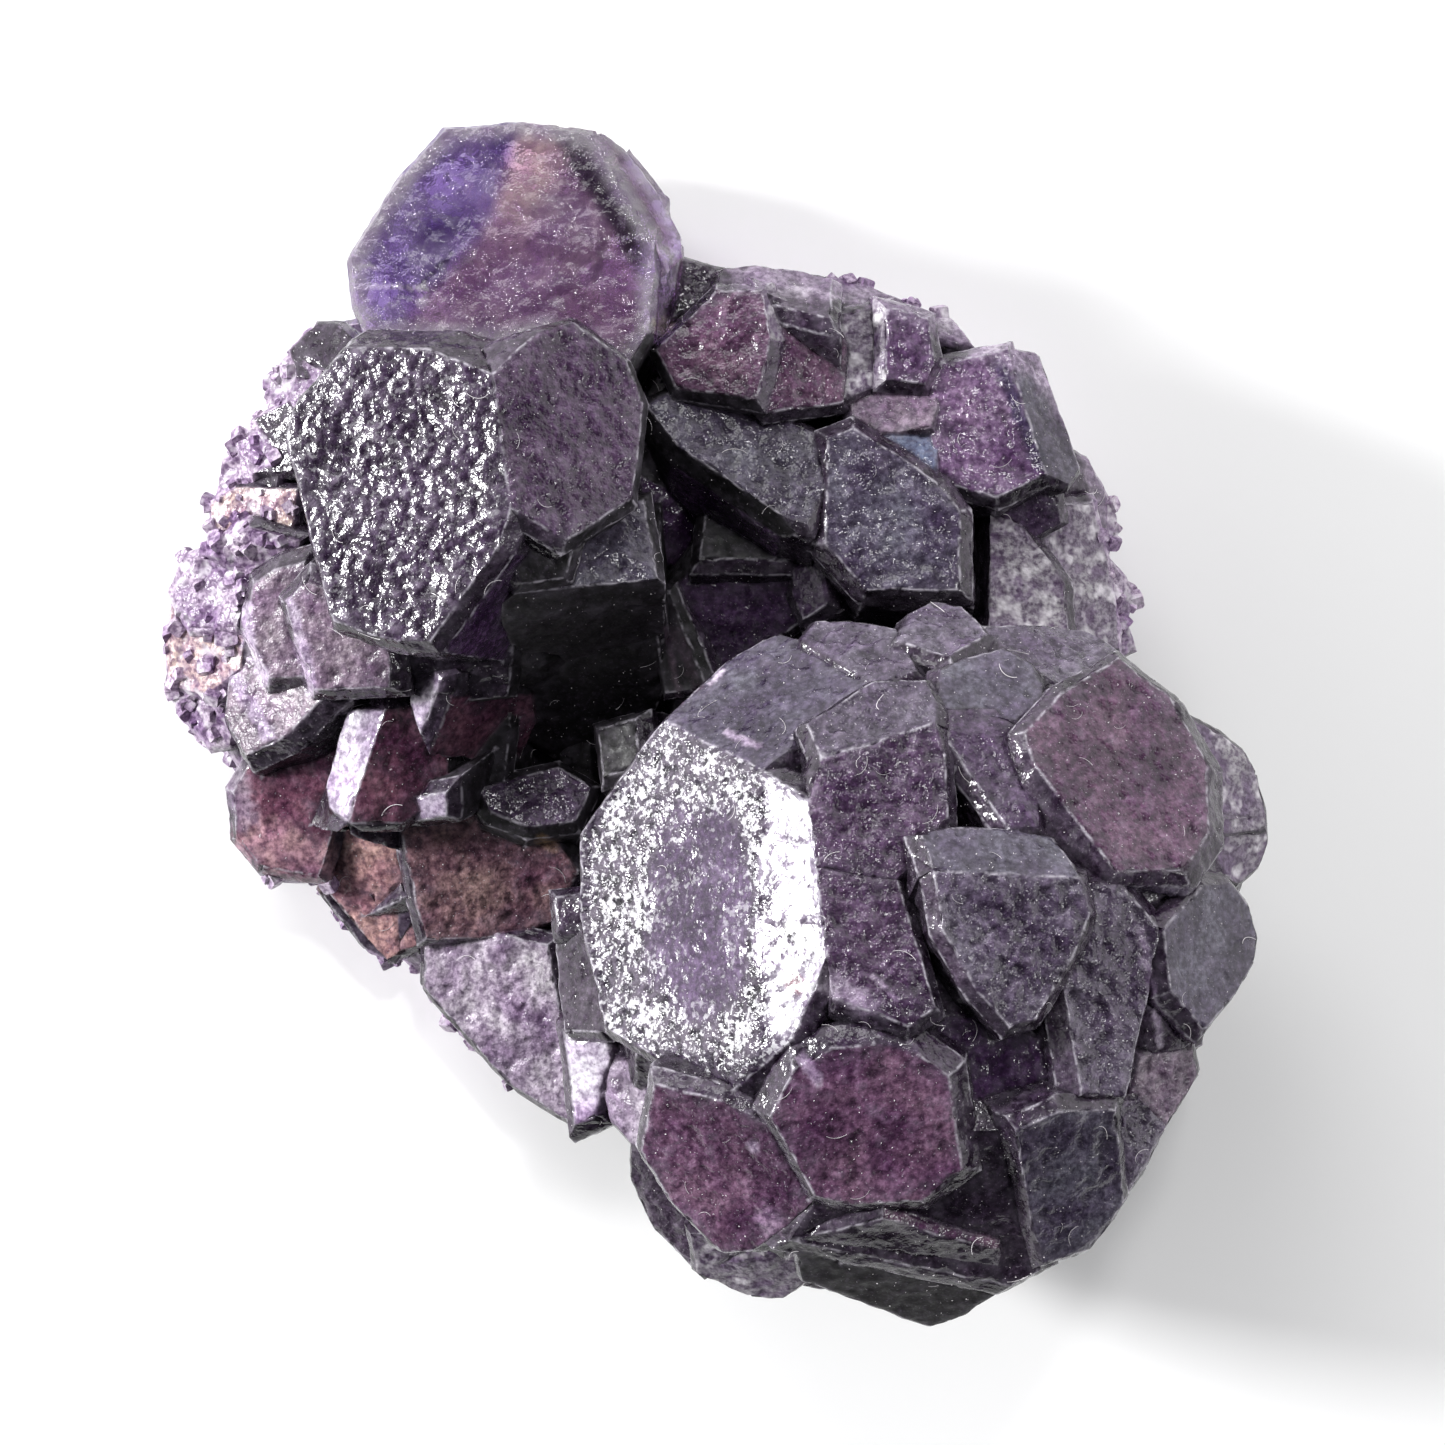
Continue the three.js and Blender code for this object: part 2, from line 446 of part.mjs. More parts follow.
bodyCrystal('crust cheek', [
  [-34.4, 7.4], [-34.9, 4.6], [-34.6, 2.4], [-32.4, 1.6], [-30.2, 3.4], [-29.8, 6.4], [-32.0, 7.6],
], 9.0, [-38, -4], PALE);
bodyCrystal('crust jaw', [
  [-34.6, 3.0], [-34.2, 0.9], [-32.2, -1.6], [-30.8, -1.4], [-30.0, 1.6], [-31.8, 3.2],
], 7.6, [-36, -18], PALE);
bodyCrystal('crust heel', [
  [-24.9, -9.2], [-25.2, -10.6], [-23.6, -12.6], [-22.3, -14.2], [-20.8, -14.9], [-19.2, -12.0],
], 6.4, [-22, -24], PALE);
bodyCrystal('pale cheek', [
  [21.8, 16.9], [22.9, 16.4], [24.0, 14.1], [24.6, 12.8], [24.1, 10.0], [21.6, 11.0], [20.8, 14.8],
], 10.6, [40, 10], PALE);
bodyCrystal('pale knob', [
  [24.0, 10.4], [25.3, 8.8], [25.8, 7.8], [25.3, 6.4], [23.4, 5.6], [22.6, 8.4],
], 9.6, [40, -4], PALE);
bodyCrystal('pale heel', [[23.4, 6.6], [25.2, 6.4], [25.8, 4.6], [23.4, 3.4]], 9.0, [36, -10], PALE);
bodyCrystal('pale ear', [
  [29.2, 0.3], [31.3, -0.9], [32.6, -1.9], [33.4, -3.2], [33.9, -5.0], [34.0, -6.6], [31.4, -7.0],
  [29.4, -3.0],
], 21.0, [36, 10], PALE);
bodyCrystal('pale lobe', [
  [31.2, -6.0], [34.0, -6.0], [34.1, -7.6], [33.6, -9.0], [32.3, -10.1], [30.6, -9.4],
], 20.6, [40, -10], PALE);
bodyCrystal('pale saddle', [
  [-4.4, 26.6], [-2.7, 29.0], [-0.4, 28.3], [-1.2, 26.4], [-3.6, 24.6],
], 11.6, [0, 14], PALE);

// What the crystals grew from: the cores of the groups and the flared slab of crust below them

function ellipsoid(x, y, z, rx, ry, rz) {
  const ball = new THREE.IcosahedronGeometry(1, 3);
  return solidFrom(ball.scale(rx, ry, rz).translate(x, y, z));
}

// A block with a level top and foot whose foot is drawn in towards the middle of the cut
function flaredSlab(outline, bottom, top, drawnIn) {
  const shape = new THREE.Shape(outline.map(([x, y]) => new THREE.Vector2(x, y)));
  const slab = new THREE.ExtrudeGeometry(shape, { depth: top - bottom, bevelEnabled: false });
  const spots = slab.attributes.position;
  for (let i = 0; i < spots.count; i += 1) {
    if (spots.getZ(i) < 0.01) spots.setXY(i, spots.getX(i) * drawnIn, spots.getY(i) * drawnIn);
  }
  return solidFrom(slab.translate(0, 0, bottom));
}

const BODY_OUTLINE = [
  [-20, 34], [-8, 34], [-3, 26.5], [6, 25.5], [14, 23], [18, 20.5], [21, 15], [23, 8], [24, 1], [25, -6],
  [25, -16], [21, -24], [15, -28], [8, -29], [0, -27], [-7, -24], [-14, -20], [-20, -13], [-28, -8],
  [-30, -2], [-33, 3], [-32, 9], [-30, 15], [-26.5, 20], [-23, 24],
];
const SLAB_TOP = 7;
const CUT_SHARE = 0.76; // the flat cut is this share of the body's outline

solids.push(flaredSlab(BODY_OUTLINE, 0, SLAB_TOP, CUT_SHARE));
solids.push(ellipsoid(BALL_CORE.x, BALL_CORE.y, BALL_CORE.z, BALL_CORE.across, BALL_CORE.across, BALL_CORE.up));
solids.push(ellipsoid(-15, 13, 11, 11, 11.5, 10));
solids.push(ellipsoid(-13, 29, 8, 9, 8, 7));
solids.push(ellipsoid(9, 15, 7, 13.5, 11, 7));
solids.push(ellipsoid(-20, -2, 4, 9, 9, 7));
solids.push(ellipsoid(-12, -14, 3, 8, 9, 5));

// Seeded crystals where nothing was read: the ball's hidden sides and the crust round the rim

function seededCrystal(point, normal, size, roll, sides, shape) {
  const side = new THREE.Vector3(0, 0, 1).cross(normal);
  if (side.length() < 0.01) side.set(1, 0, 0);
  side.normalize();
  const other = normal.clone().cross(side);
  const points = [];
  for (let i = 0; i < sides; i += 1) {
    const angle = ((i + 0.5 * roll()) / sides) * 2 * Math.PI;
    const radius = size * (0.8 + 0.35 * roll());
    const spot = point.clone().addScaledVector(side, Math.cos(angle) * radius);
    points.push(spot.addScaledVector(other, Math.sin(angle) * radius));
  }
  solids.push(crystalFrom(points, normal, shape));
}

function jittered(normal, degrees, roll) {
  const swing = Math.tan(radians(degrees));
  const push = new THREE.Vector3(roll() - 0.5, roll() - 0.5, roll() - 0.5).multiplyScalar(2 * swing);
  return normal.clone().add(push).normalize();
}

// How far the ball looks to reach from its middle, at every 30 degrees from +X, in millimetres
const BALL_REACH = [21, 24, 23.5, 22.5, 22.5, 21.7, 21.5, 20.3, 21.5, 20.8, 20, 18.4];
const HIDDEN_BALL = { inset: 1.7, size: 4.2, count: 70, from: 66, to: 152 };
const HIDDEN_SHAPE = { slope: 56, walled: false, depth: 7 };
const BODY_SIDE = { heading: 128, width: 70, top: 12 }; // where the ball joins the body, degrees about +Z

function ballReach(heading) {
  const part = (heading / 30 + BALL_REACH.length) % BALL_REACH.length;
  const from = Math.floor(part);
  const next = (from + 1) % BALL_REACH.length;
  return THREE.MathUtils.lerp(BALL_REACH[from], BALL_REACH[next], part - from);
}

function coverBall() {
  const roll = dice(11);
  const golden = Math.PI * (3 - Math.sqrt(5));
  const high = Math.cos(radians(HIDDEN_BALL.from));
  const low = Math.cos(radians(HIDDEN_BALL.to));
  for (let i = 0; i < HIDDEN_BALL.count; i += 1) {
    const up = high + ((low - high) * (i + 0.5)) / HIDDEN_BALL.count;
    const round = Math.sqrt(1 - up * up);
    const azimuth = i * golden;
    const heading = THREE.MathUtils.radToDeg(Math.atan2(Math.sin(azimuth), Math.cos(azimuth)));
    const z = BALL_CORE.z + up * BALL_CORE.up;
    const reach = ballReach(heading) - HIDDEN_BALL.inset;
    const lift = 0.9 * (roll() - 0.5);
    const size = HIDDEN_BALL.size * (0.75 + 0.35 * roll());
    const direction = new THREE.Vector3(Math.cos(azimuth), Math.sin(azimuth), 0).multiplyScalar(round / reach);
    direction.z = up / BALL_CORE.up;
    const normal = jittered(direction.normalize(), 7, roll);
    const fromBody = Math.abs(((heading - BODY_SIDE.heading + 540) % 360) - 180);
    if (fromBody < BODY_SIDE.width && z < BODY_SIDE.top) continue;
    const point = place(
      BALL_CORE.x + Math.cos(azimuth) * round * reach,
      BALL_CORE.y + Math.sin(azimuth) * round * reach,
      z,
    ).addScaledVector(normal, lift);
    seededCrystal(point, normal, size, roll, 5 + Math.floor(2 * roll()), HIDDEN_SHAPE);
  }
}
coverBall();

// Rows of druse along the rim: height above the cut, how far out of the outline, tilt from level, size
const DRUSE = { slope: 62, walled: false, depth: 3.5 };
const LOW_ROWS = [
  { z: 6.0, out: -0.6, tilt: 58, size: 1.9, gap: 3.6 },
  { z: 3.8, out: 0.0, tilt: 78, size: 2.3, gap: 3.8 },
  { z: 1.6, out: -1.2, tilt: 102, size: 2.1, gap: 4.2 },
];
const HIGH_ROWS = [
  { z: 10.4, out: -0.6, tilt: 74, size: 2.7, gap: 4.6 },
  { z: 6.6, out: 0.0, tilt: 82, size: 3.0, gap: 4.8 },
  { z: 2.6, out: -1.5, tilt: 100, size: 2.8, gap: 4.8 },
];
const RIM_TOP = [[-3.6, 27.5], [-3.0, 30.0], [-6.2, 35.0], [-9.0, 36.2], [-16.6, 36.4], [-20.2, 32.8], [-22.4, 28.0]];
const RIM_LEFT = [
  [-22.6, 25.4], [-26.0, 23.8], [-28.2, 20.6], [-30.6, 15.8], [-31.6, 11.8], [-33.6, 8.0], [-34.2, 3.6],
  [-32.4, -0.6], [-30.6, -4.4], [-29.4, -8.0], [-24.6, -10.0], [-21.4, -14.2], [-17.6, -16.6],
  [-13.6, -21.4], [-9.4, -24.6],
];
const RIM_RIGHT = [
  [26.4, 0.4], [24.2, 4.6], [23.8, 9.0], [22.9, 13.0], [21.4, 16.6], [19.0, 21.6], [14.4, 24.2],
  [8.0, 26.4], [2.0, 27.2], [-2.6, 26.2],
];

function coverRim(outline, rows, seed) {
  const roll = dice(seed);
  rows.forEach((row) => {
    for (let i = 0; i + 1 < outline.length; i += 1) {
      const a = new THREE.Vector2(...outline[i]);
      const b = new THREE.Vector2(...outline[i + 1]);
      const steps = Math.max(1, Math.round(a.distanceTo(b) / row.gap));
      const out = new THREE.Vector2(b.y - a.y, a.x - b.x).normalize();
      for (let k = 0; k < steps; k += 1) {
        const spot = a.clone().lerp(b, (k + 0.5 + 0.3 * (roll() - 0.5)) / steps);
        spot.addScaledVector(out, row.out - 0.3 * row.size + 0.7 * (roll() - 0.5));
        const point = place(spot.x, spot.y, row.z + 1.2 * (roll() - 0.5));
        const tilt = radians(row.tilt);
        const facing = new THREE.Vector3(out.x * Math.sin(tilt), out.y * Math.sin(tilt), Math.cos(tilt));
        const size = row.size * (0.75 + 0.5 * roll());
        seededCrystal(point, jittered(facing, 14, roll), size, roll, 5, DRUSE);
      }
    }
  });
}
coverRim(RIM_TOP, HIGH_ROWS, 23);
coverRim(RIM_LEFT, LOW_ROWS, 29);
coverRim(RIM_RIGHT, HIGH_ROWS, 37);

// All the crystals joined in one solid, and the back cut off flat

function largestShell(solid) {
  return solid.decompose().sort((a, b) => b.volume() - a.volume())[0];
}

const joined = solids.reduce((whole, piece) => whole.add(piece));
const cluster = largestShell(largestShell(joined.trimByPlane([0, 0, 1], 0)).simplify(CLEAN));

const fluorite = new THREE.MeshStandardMaterial({ color: 0x43343f, roughness: 0.35, metalness: 0 });
const specimen = new THREE.Mesh(geometryFrom(cluster), fluorite);
specimen.name = 'fluorite_cluster';

const group = new THREE.Group();
group.add(specimen);

export default group;
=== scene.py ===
# %% [markdown]
# # A fluorite crystal cluster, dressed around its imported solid
#
# Fluorite is calcium fluoride. This specimen is a hand-sized growth of dark purple crystals that
# grew through each other on rock, so it is one piece of stone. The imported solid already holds
# every crystal as flat facets. This script splits those facets finely, lays the etched, hammered
# and stepped relief of real crystal faces on them, and gives the stone its colours and its light.

import math
import time

import bmesh
import bpy
import numpy as np
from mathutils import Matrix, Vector
from mathutils.bvhtree import BVHTree
from mathutils.geometry import delaunay_2d_cdt


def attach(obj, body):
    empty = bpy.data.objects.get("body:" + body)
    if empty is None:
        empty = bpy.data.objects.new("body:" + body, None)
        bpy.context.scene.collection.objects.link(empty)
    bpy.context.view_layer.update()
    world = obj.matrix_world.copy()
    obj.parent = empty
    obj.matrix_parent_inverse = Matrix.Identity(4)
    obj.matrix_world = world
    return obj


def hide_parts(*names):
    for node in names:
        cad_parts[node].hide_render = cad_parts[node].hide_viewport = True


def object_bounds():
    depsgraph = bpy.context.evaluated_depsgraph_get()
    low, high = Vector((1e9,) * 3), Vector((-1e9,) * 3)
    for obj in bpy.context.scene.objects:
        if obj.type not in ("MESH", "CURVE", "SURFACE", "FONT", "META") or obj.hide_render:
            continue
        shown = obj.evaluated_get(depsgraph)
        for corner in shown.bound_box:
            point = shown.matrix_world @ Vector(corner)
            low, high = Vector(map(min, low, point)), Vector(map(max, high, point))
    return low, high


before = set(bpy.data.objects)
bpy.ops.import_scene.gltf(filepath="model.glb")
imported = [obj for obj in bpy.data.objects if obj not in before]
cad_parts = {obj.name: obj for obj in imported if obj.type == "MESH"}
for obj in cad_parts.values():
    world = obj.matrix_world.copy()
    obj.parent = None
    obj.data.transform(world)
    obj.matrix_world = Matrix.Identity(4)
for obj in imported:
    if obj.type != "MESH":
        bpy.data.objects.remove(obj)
cad_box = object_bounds()
clock = time.time()
MM = 0.001  # Blender works in metres, and every size below is in millimetres
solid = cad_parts["fluorite_cluster"]
print("CAD box in mm:", [[round(c / MM, 1) for c in corner] for corner in cad_box])

# %% [markdown]
# ## The camera
#
# The specimen lies on the flat cut of its back and the photograph looks straight at its front, so
# the camera looks straight down from 320 mm. A level 20 mm above the cut then fills the square
# picture with 90.3 mm, which sets the lens. A place in the picture is given below in millimetres on
# that level, and `seen_place` gives where a real point is seen.

# %% Camera
EYE = 320.0
SCALE_LEVEL = 20.0
PICTURE_WIDTH = 1445 / 16
SENSOR = 36.0


def new_object(name, data):
    """An object that is in the scene."""
    made = bpy.data.objects.new(name, data)
    bpy.context.scene.collection.objects.link(made)
    return made


camera = new_object("camera", bpy.data.cameras.new("camera"))
camera.location = (0, 0, EYE * MM)
camera.data.sensor_width = SENSOR
camera.data.lens = SENSOR * (EYE - SCALE_LEVEL) / PICTURE_WIDTH
camera.data.clip_start = 0.01
bpy.context.scene.camera = camera
print("lens", round(camera.data.lens, 1), "mm")


def seen_place(points):
    """Where points of the object look to be, in millimetres on the scale level."""
    return points[:, :2] * ((EYE - SCALE_LEVEL) / (EYE - points[:, 2]))[:, None]


# %% [markdown]
# ## From loose triangles to facets
#
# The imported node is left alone. Its triangles are read once, and corners at the same place are
# joined. Neighbouring triangles that lie in one plane are then grouped, because one group is one
# crystal face, and it is the faces that the relief and the colours follow.

# %% Read and join the triangles
def joined_triangles(obj):
    """The corner places in millimetres and the triangles of a mesh, equal corners joined."""
    mesh = obj.data
    mesh.calc_loop_triangles()
    places = np.empty(len(mesh.vertices) * 3, np.float32)
    mesh.vertices.foreach_get("co", places)
    corners = np.empty(len(mesh.loop_triangles) * 3, np.int32)
    mesh.loop_triangles.foreach_get("vertices", corners)
    spots, index = np.unique(places.reshape(-1, 3), axis=0, return_inverse=True)
    triangles = index.reshape(-1)[corners].reshape(-1, 3)
    a, b, c = triangles.T
    whole = (a != b) & (b != c) & (a != c)
    return spots.astype(float) / MM, triangles[whole]


spots, triangles = joined_triangles(solid)
print(len(spots), "corners,", len(triangles), "triangles")


# %% Group the triangles into facets
SAME_FACE = math.cos(math.radians(2.5))
THIN = 0.012  # a triangle lower than this has no dependable direction of its own


def triangle_normals(points, tris):
    cross = np.cross(points[tris[:, 1]] - points[tris[:, 0]], points[tris[:, 2]] - points[tris[:, 0]])
    length = np.linalg.norm(cross, axis=1)
    return cross / np.maximum(length, 1e-12)[:, None], length / 2


def edge_pairs(tris):
    """Every edge once, as (low corner, high corner, first triangle, second triangle)."""
    ends = np.sort(tris[:, [0, 1, 1, 2, 2, 0]].reshape(-1, 2), axis=1)
    owner = np.repeat(np.arange(len(tris)), 3)
    order = np.lexsort((owner, ends[:, 1], ends[:, 0]))
    ends, owner = ends[order], owner[order]
    return ends[::2], owner[::2], owner[1::2]


normals, areas = triangle_normals(spots, triangles)
edges, left, right = edge_pairs(triangles)
longest = np.linalg.norm(spots[triangles] - spots[np.roll(triangles, 1, axis=1)], axis=2).max(axis=1)
thin = 2 * areas / longest < THIN
group = list(range(len(triangles)))


def root_of(i, joined):
    """The triangle that stands for all those that triangle i has been joined to."""
    while joined[i] != i:
        joined[i] = joined[joined[i]]
        i = joined[i]
    return i


agree = (normals[left] * normals[right]).sum(axis=1)
for i in np.argsort(-agree):
    sliver = thin[left[i]] or thin[right[i]]
    if agree[i] > SAME_FACE and not sliver:
        group[root_of(left[i], group)] = root_of(right[i], group)
edge_length = np.linalg.norm(spots[edges[:, 0]] - spots[edges[:, 1]], axis=1)
taken = np.zeros(len(triangles), bool)
for i in np.argsort(-edge_length):
    for one, other in ((left[i], right[i]), (right[i], left[i])):
        if thin[one] and not taken[one]:
            group[root_of(one, group)] = root_of(other, group)
            taken[one] = True
            break
roots, facet_of = np.unique([root_of(i, group) for i in range(len(triangles))], return_inverse=True)
facet_count = len(roots)

facet_area = np.bincount(facet_of, areas)
facet_normal = np.stack([np.bincount(facet_of, normals[:, k] * areas) for k in range(3)], axis=1)
facet_normal /= np.linalg.norm(facet_normal, axis=1)[:, None]
middles = spots[triangles].mean(axis=1)
facet_middle = np.stack([np.bincount(facet_of, middles[:, k] * areas) for k in range(3)], axis=1)
facet_middle /= facet_area[:, None]
print(facet_count, "facets, the largest", round(facet_area.max(), 1), "mm2")
print("boundary length", round(edge_length[facet_of[left] != facet_of[right]].sum()), "mm")
print("seconds", round(time.time() - clock, 1))

# %% [markdown]
# ## A fine, even mesh on every facet
#
# Relief needs many small triangles of one size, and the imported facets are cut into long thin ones.
# So each facet is laid flat, filled with an even scatter of points and triangulated again by
# constrained Delaunay triangulation. Edges between facets are divided once and shared, so the
# new mesh stays closed. A row of points just inside each edge lets the edge be worn round.

# %% Divide the edges between facets
FINE, COARSE = ((0.26, 0.5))  # mm between points, in front and elsewhere
ON_CUT = 3.0  # mm between points on the flat resting cut, which nothing moves
FRONT_FROM = 0.12  # the upward part of a normal from which a facet looks towards the front
WORN = 0.15  # how far from an edge the wear begins
NO_AREA = 1e-5  # mm2: a patch this small is only a straight outline's own rounding

spacing = np.where(facet_normal[:, 2] > FRONT_FROM, FINE, COARSE)
spacing[(facet_normal[:, 2] < -0.5) & (facet_middle[:, 2] < 0.5)] = ON_CUT

between = np.flatnonzero(facet_of[left] != facet_of[right])
points = list(spots)
outline = [[] for _ in range(facet_count)]
for e in between:
    a, b = edges[e]
    step = min(spacing[facet_of[left[e]]], spacing[facet_of[right[e]]])
    pieces = max(1, round(edge_length[e] / step))
    chain = [a]
    for k in range(1, pieces):
        points.append(spots[a] + (spots[b] - spots[a]) * (k / pieces))
        chain.append(len(points) - 1)
    chain.append(b)
    for side in (left[e], right[e]):
        outline[facet_of[side]].append(chain)
print(len(between), "edges between facets,", len(points), "corners on them")


# %% Helpers that fill a facet
ROW_HEIGHT = 0.866  # of the spacing, as in rows of equal triangles
SCATTER = 0.2  # how far a point strays from its row, as a part of the spacing


def inside_outline(places, starts, ends):
    """Which flat places lie inside the outline's segments, by the even-odd rule."""
    x, y = places[:, :1], places[:, 1:]
    x0, y0, x1, y1 = starts[:, 0], starts[:, 1], ends[:, 0], ends[:, 1]
    rise = np.where(y1 == y0, 1e-12, y1 - y0)
    crossing = ((y0 > y) != (y1 > y)) & (x < (x1 - x0) * (y - y0) / rise + x0)
    return crossing.sum(axis=1) % 2 == 1


def distance_to(places, starts, ends):
    """How far each flat place is from the nearest segment."""
    along = ends - starts
    reach = np.maximum((along ** 2).sum(axis=1), 1e-12)
    part = ((places[:, None] - starts) * along).sum(axis=2) / reach
    nearest = starts + np.clip(part, 0, 1)[..., None] * along
    return np.sqrt(((places[:, None] - nearest) ** 2).sum(axis=2)).min(axis=1)


def even_scatter(low, high, step, rng):
    """Points in staggered rows, each moved a little, over a rectangle."""
    rows = np.arange(low[1], high[1] + step, step * ROW_HEIGHT)
    columns = np.arange(low[0] - step, high[0] + step, step)
    grid = np.stack(np.meshgrid(columns, rows), axis=2)
    grid[1::2, :, 0] += step / 2
    moves = rng.uniform(-SCATTER, SCATTER, (grid.shape[0] * grid.shape[1], 2))
    return grid.reshape(-1, 2) + moves * step


def real_part(faces, made, walls, starts, ends):
    """Marks the triangles that belong to the facet, judging each patch between outlines as a whole."""
    patch = list(range(len(faces)))
    seen = {}
    for i, face in enumerate(faces.tolist()):
        for a, b in ((face[0], face[1]), (face[1], face[2]), (face[2], face[0])):
            edge = (a, b) if a < b else (b, a)
            if edge in walls:
                continue
            if edge in seen:
                patch[root_of(i, patch)] = root_of(seen[edge], patch)
            else:
                seen[edge] = i
    heads = np.array([root_of(i, patch) for i in range(len(faces))])
    a, b, c = made[faces[:, 0]], made[faces[:, 1]], made[faces[:, 2]]
    size = np.abs((b - a)[:, 0] * (c - a)[:, 1] - (b - a)[:, 1] * (c - a)[:, 0])
    keep = np.zeros(len(faces), bool)
    for one in np.unique(heads):
        members = np.flatnonzero(heads == one)
        largest = members[size[members].argmax()]
        if size[largest] > NO_AREA:
            keep[members] = inside_outline(made[faces[largest]].mean(axis=0)[None], starts, ends)[0]
    return keep


# %% Fill the facets
CLOUD_FROM = 0.6  # a facet smaller than this many spacings squared gets no points inside
CLOUD_GAP = 0.35  # of the spacing, left free between the row along the edge and the points inside
ROW_FROM = 1.0  # mm2: smaller facets get no row along their edges
SAME_PLACE = 1e-6  # mm

rng = np.random.default_rng(7)
new_triangles, new_facet, edge_distance = [], [], {}
for f in range(facet_count):
    normal = facet_normal[f]
    aside = np.cross(normal, (0.0, 0.0, 1.0) if abs(normal[2]) < 0.9 else (1.0, 0.0, 0.0))
    aside /= np.linalg.norm(aside)
    upward = np.cross(normal, aside)
    links = np.array([pair for chain in outline[f] for pair in zip(chain, chain[1:])])
    ring, flat_links = np.unique(links, return_inverse=True)
    flat_links = flat_links.reshape(-1, 2)
    places = np.array([points[i] for i in ring])
    away = places - facet_middle[f]
    flat = np.stack([away @ aside, away @ upward], axis=1)
    starts, ends = flat[flat_links[:, 0]], flat[flat_links[:, 1]]
    step = spacing[f]
    extra = np.empty((0, 2))
    if facet_area[f] > CLOUD_FROM * step * step:
        cloud = even_scatter(flat.min(axis=0), flat.max(axis=0), step, rng)
        cloud = cloud[inside_outline(cloud, starts, ends)]
        if len(cloud):
            cloud = cloud[distance_to(cloud, starts, ends) > WORN + CLOUD_GAP * step]
        row = np.empty((0, 2))
        if facet_area[f] > ROW_FROM and step < ON_CUT:
            along = ends - starts
            reach = np.linalg.norm(along, axis=1)
            keep = reach > 0.3 * step
            across = np.stack([-along[keep, 1], along[keep, 0]], axis=1) / reach[keep, None]
            half = (starts[keep] + ends[keep]) / 2
            row = np.concatenate([half + across * WORN, half - across * WORN])
            row = row[inside_outline(row, starts, ends)]
            if len(row):
                row = row[distance_to(row, starts, ends) > WORN * 0.93]
        extra = np.concatenate([cloud, row])
    everything = [Vector(p) for p in np.concatenate([flat, extra])]
    found = delaunay_2d_cdt(everything, flat_links.tolist(), [], 1, SAME_PLACE, True)
    made = np.array([v[:] for v in found[0]])
    faces = np.array(found[2])
    walls = {tuple(sorted(edge)) for edge, origin in zip(found[1], found[4]) if origin}
    faces = faces[real_part(faces, made, walls, starts, ends)]
    names = np.full(len(made), -1)
    distance = distance_to(made, starts, ends)
    for i, origin in enumerate(found[3]):
        if origin and min(origin) < len(ring):
            names[i] = ring[min(origin)]
        else:
            names[i] = len(points)
            points.append(facet_middle[f] + aside * made[i][0] + upward * made[i][1])
            edge_distance[names[i]] = distance[i]
    turn = made[faces[:, 1]] - made[faces[:, 0]]
    other = made[faces[:, 2]] - made[faces[:, 0]]
    flipped = turn[:, 0] * other[:, 1] - turn[:, 1] * other[:, 0] < 0
    faces[flipped] = faces[flipped][:, ::-1]
    new_triangles.append(names[faces])
    new_facet.append(np.full(len(faces), f))

points = np.array(points)
fine_triangles = np.concatenate(new_triangles)
fine_facet = np.concatenate(new_facet)
print(len(fine_triangles), "fine triangles, seconds", round(time.time() - clock, 1))


# %% [markdown]
# ## Naming the faces
#
# Each crystal face has its own finish: one is hammered all over, one is glazed, others are plum windows,
# grey veils or rough steps. The grey of the veils is a painted reflection, the near-white finish is a
# painted highlight and the near-black one is painted shade. A face is found by a place where it can be
# seen. A ray from the camera through that place meets the solid, and the facet that it meets gets the
# finish.

# %% Finishes of the faces
def linear(text):
    """A hex colour as the eye sees it, turned to the linear values that Blender mixes."""
    parts = [int(text[i:i + 2], 16) / 255 for i in (1, 3, 5)]
    return np.array([c / 12.92 if c <= 0.04045 else ((c + 0.055) / 1.055) ** 2.4 for c in parts])


# Besides colour, roughness and relief, a finish says how strongly white flecks are painted on it as glints.
PLAIN = {"colour": "#4c424f", "rough": 0.15, "etch": 0.9, "hammer": 0.0, "steps": 0.5, "painted_glints": 0.0}
NAMED_ROUGH = 0.16  # the roughness of a named finish that gives none
FINISHES = {
    "glazed": {"colour": "#60506a", "rough": 0.17, "etch": 0.35, "steps": 0.0, "painted_glints": 0.5},
    "grained": {"colour": "#483d4e", "etch": 0.9, "hammer": 1.0, "steps": 0.2, "painted_glints": 0.1},
    "plum": {"colour": "#5b475f", "etch": 1.3},
    "window": {"colour": "#725569", "etch": 1.3, "steps": 0.2},
    # The grey of the veil finish is a painted reflection of the bright surroundings on tilted faces.
    "veil": {"colour": "#605f6a", "etch": 1.0},
    "rough": {"colour": "#6b6672", "etch": 1.6, "steps": 1.5},
    "dark": {"colour": "#5d4d64", "etch": 1.0, "steps": 0.7},
    # The near-black colour of the black finish is painted shade, for faces that lie deep in shade.
    "black": {"colour": "#0c050d", "rough": 0.60, "etch": 0.6, "steps": 0.0},
    "deep purple": {"colour": "#503859", "etch": 0.9},
    "wine": {"colour": "#825866", "etch": 0.9},
    # The near-white colour of the lit finish is a painted highlight, for faces that shine in the window's
    # light.
    "lit": {"colour": "#f0f0f2", "rough": 0.14, "etch": 0.3, "steps": 0.0},
    "brown": {"colour": "#9c7f7b", "etch": 1.3, "steps": 0.6},
    "rose": {"colour": "#d2ab9f", "etch": 1.2},
    "lilac": {"colour": "#c8c2c8", "rough": 0.32, "etch": 1.4, "steps": 0.8},
    "frosted": {"colour": "#a0949a", "rough": 0.30, "etch": 1.4},
    "violet": {"colour": "#88738c", "etch": 0.8},
    "blue": {"colour": "#8093a6", "etch": 0.8},
    "edge glass": {"colour": "#a9a5aa", "rough": 0.28, "etch": 1.2},
    "crust": {"colour": "#dfcfe0", "rough": 0.30, "etch": 1.6, "hammer": 1.2, "steps": 1.2},
    "peach": {"colour": "#fce4d4", "rough": 0.32, "etch": 1.6, "hammer": 1.0},
}
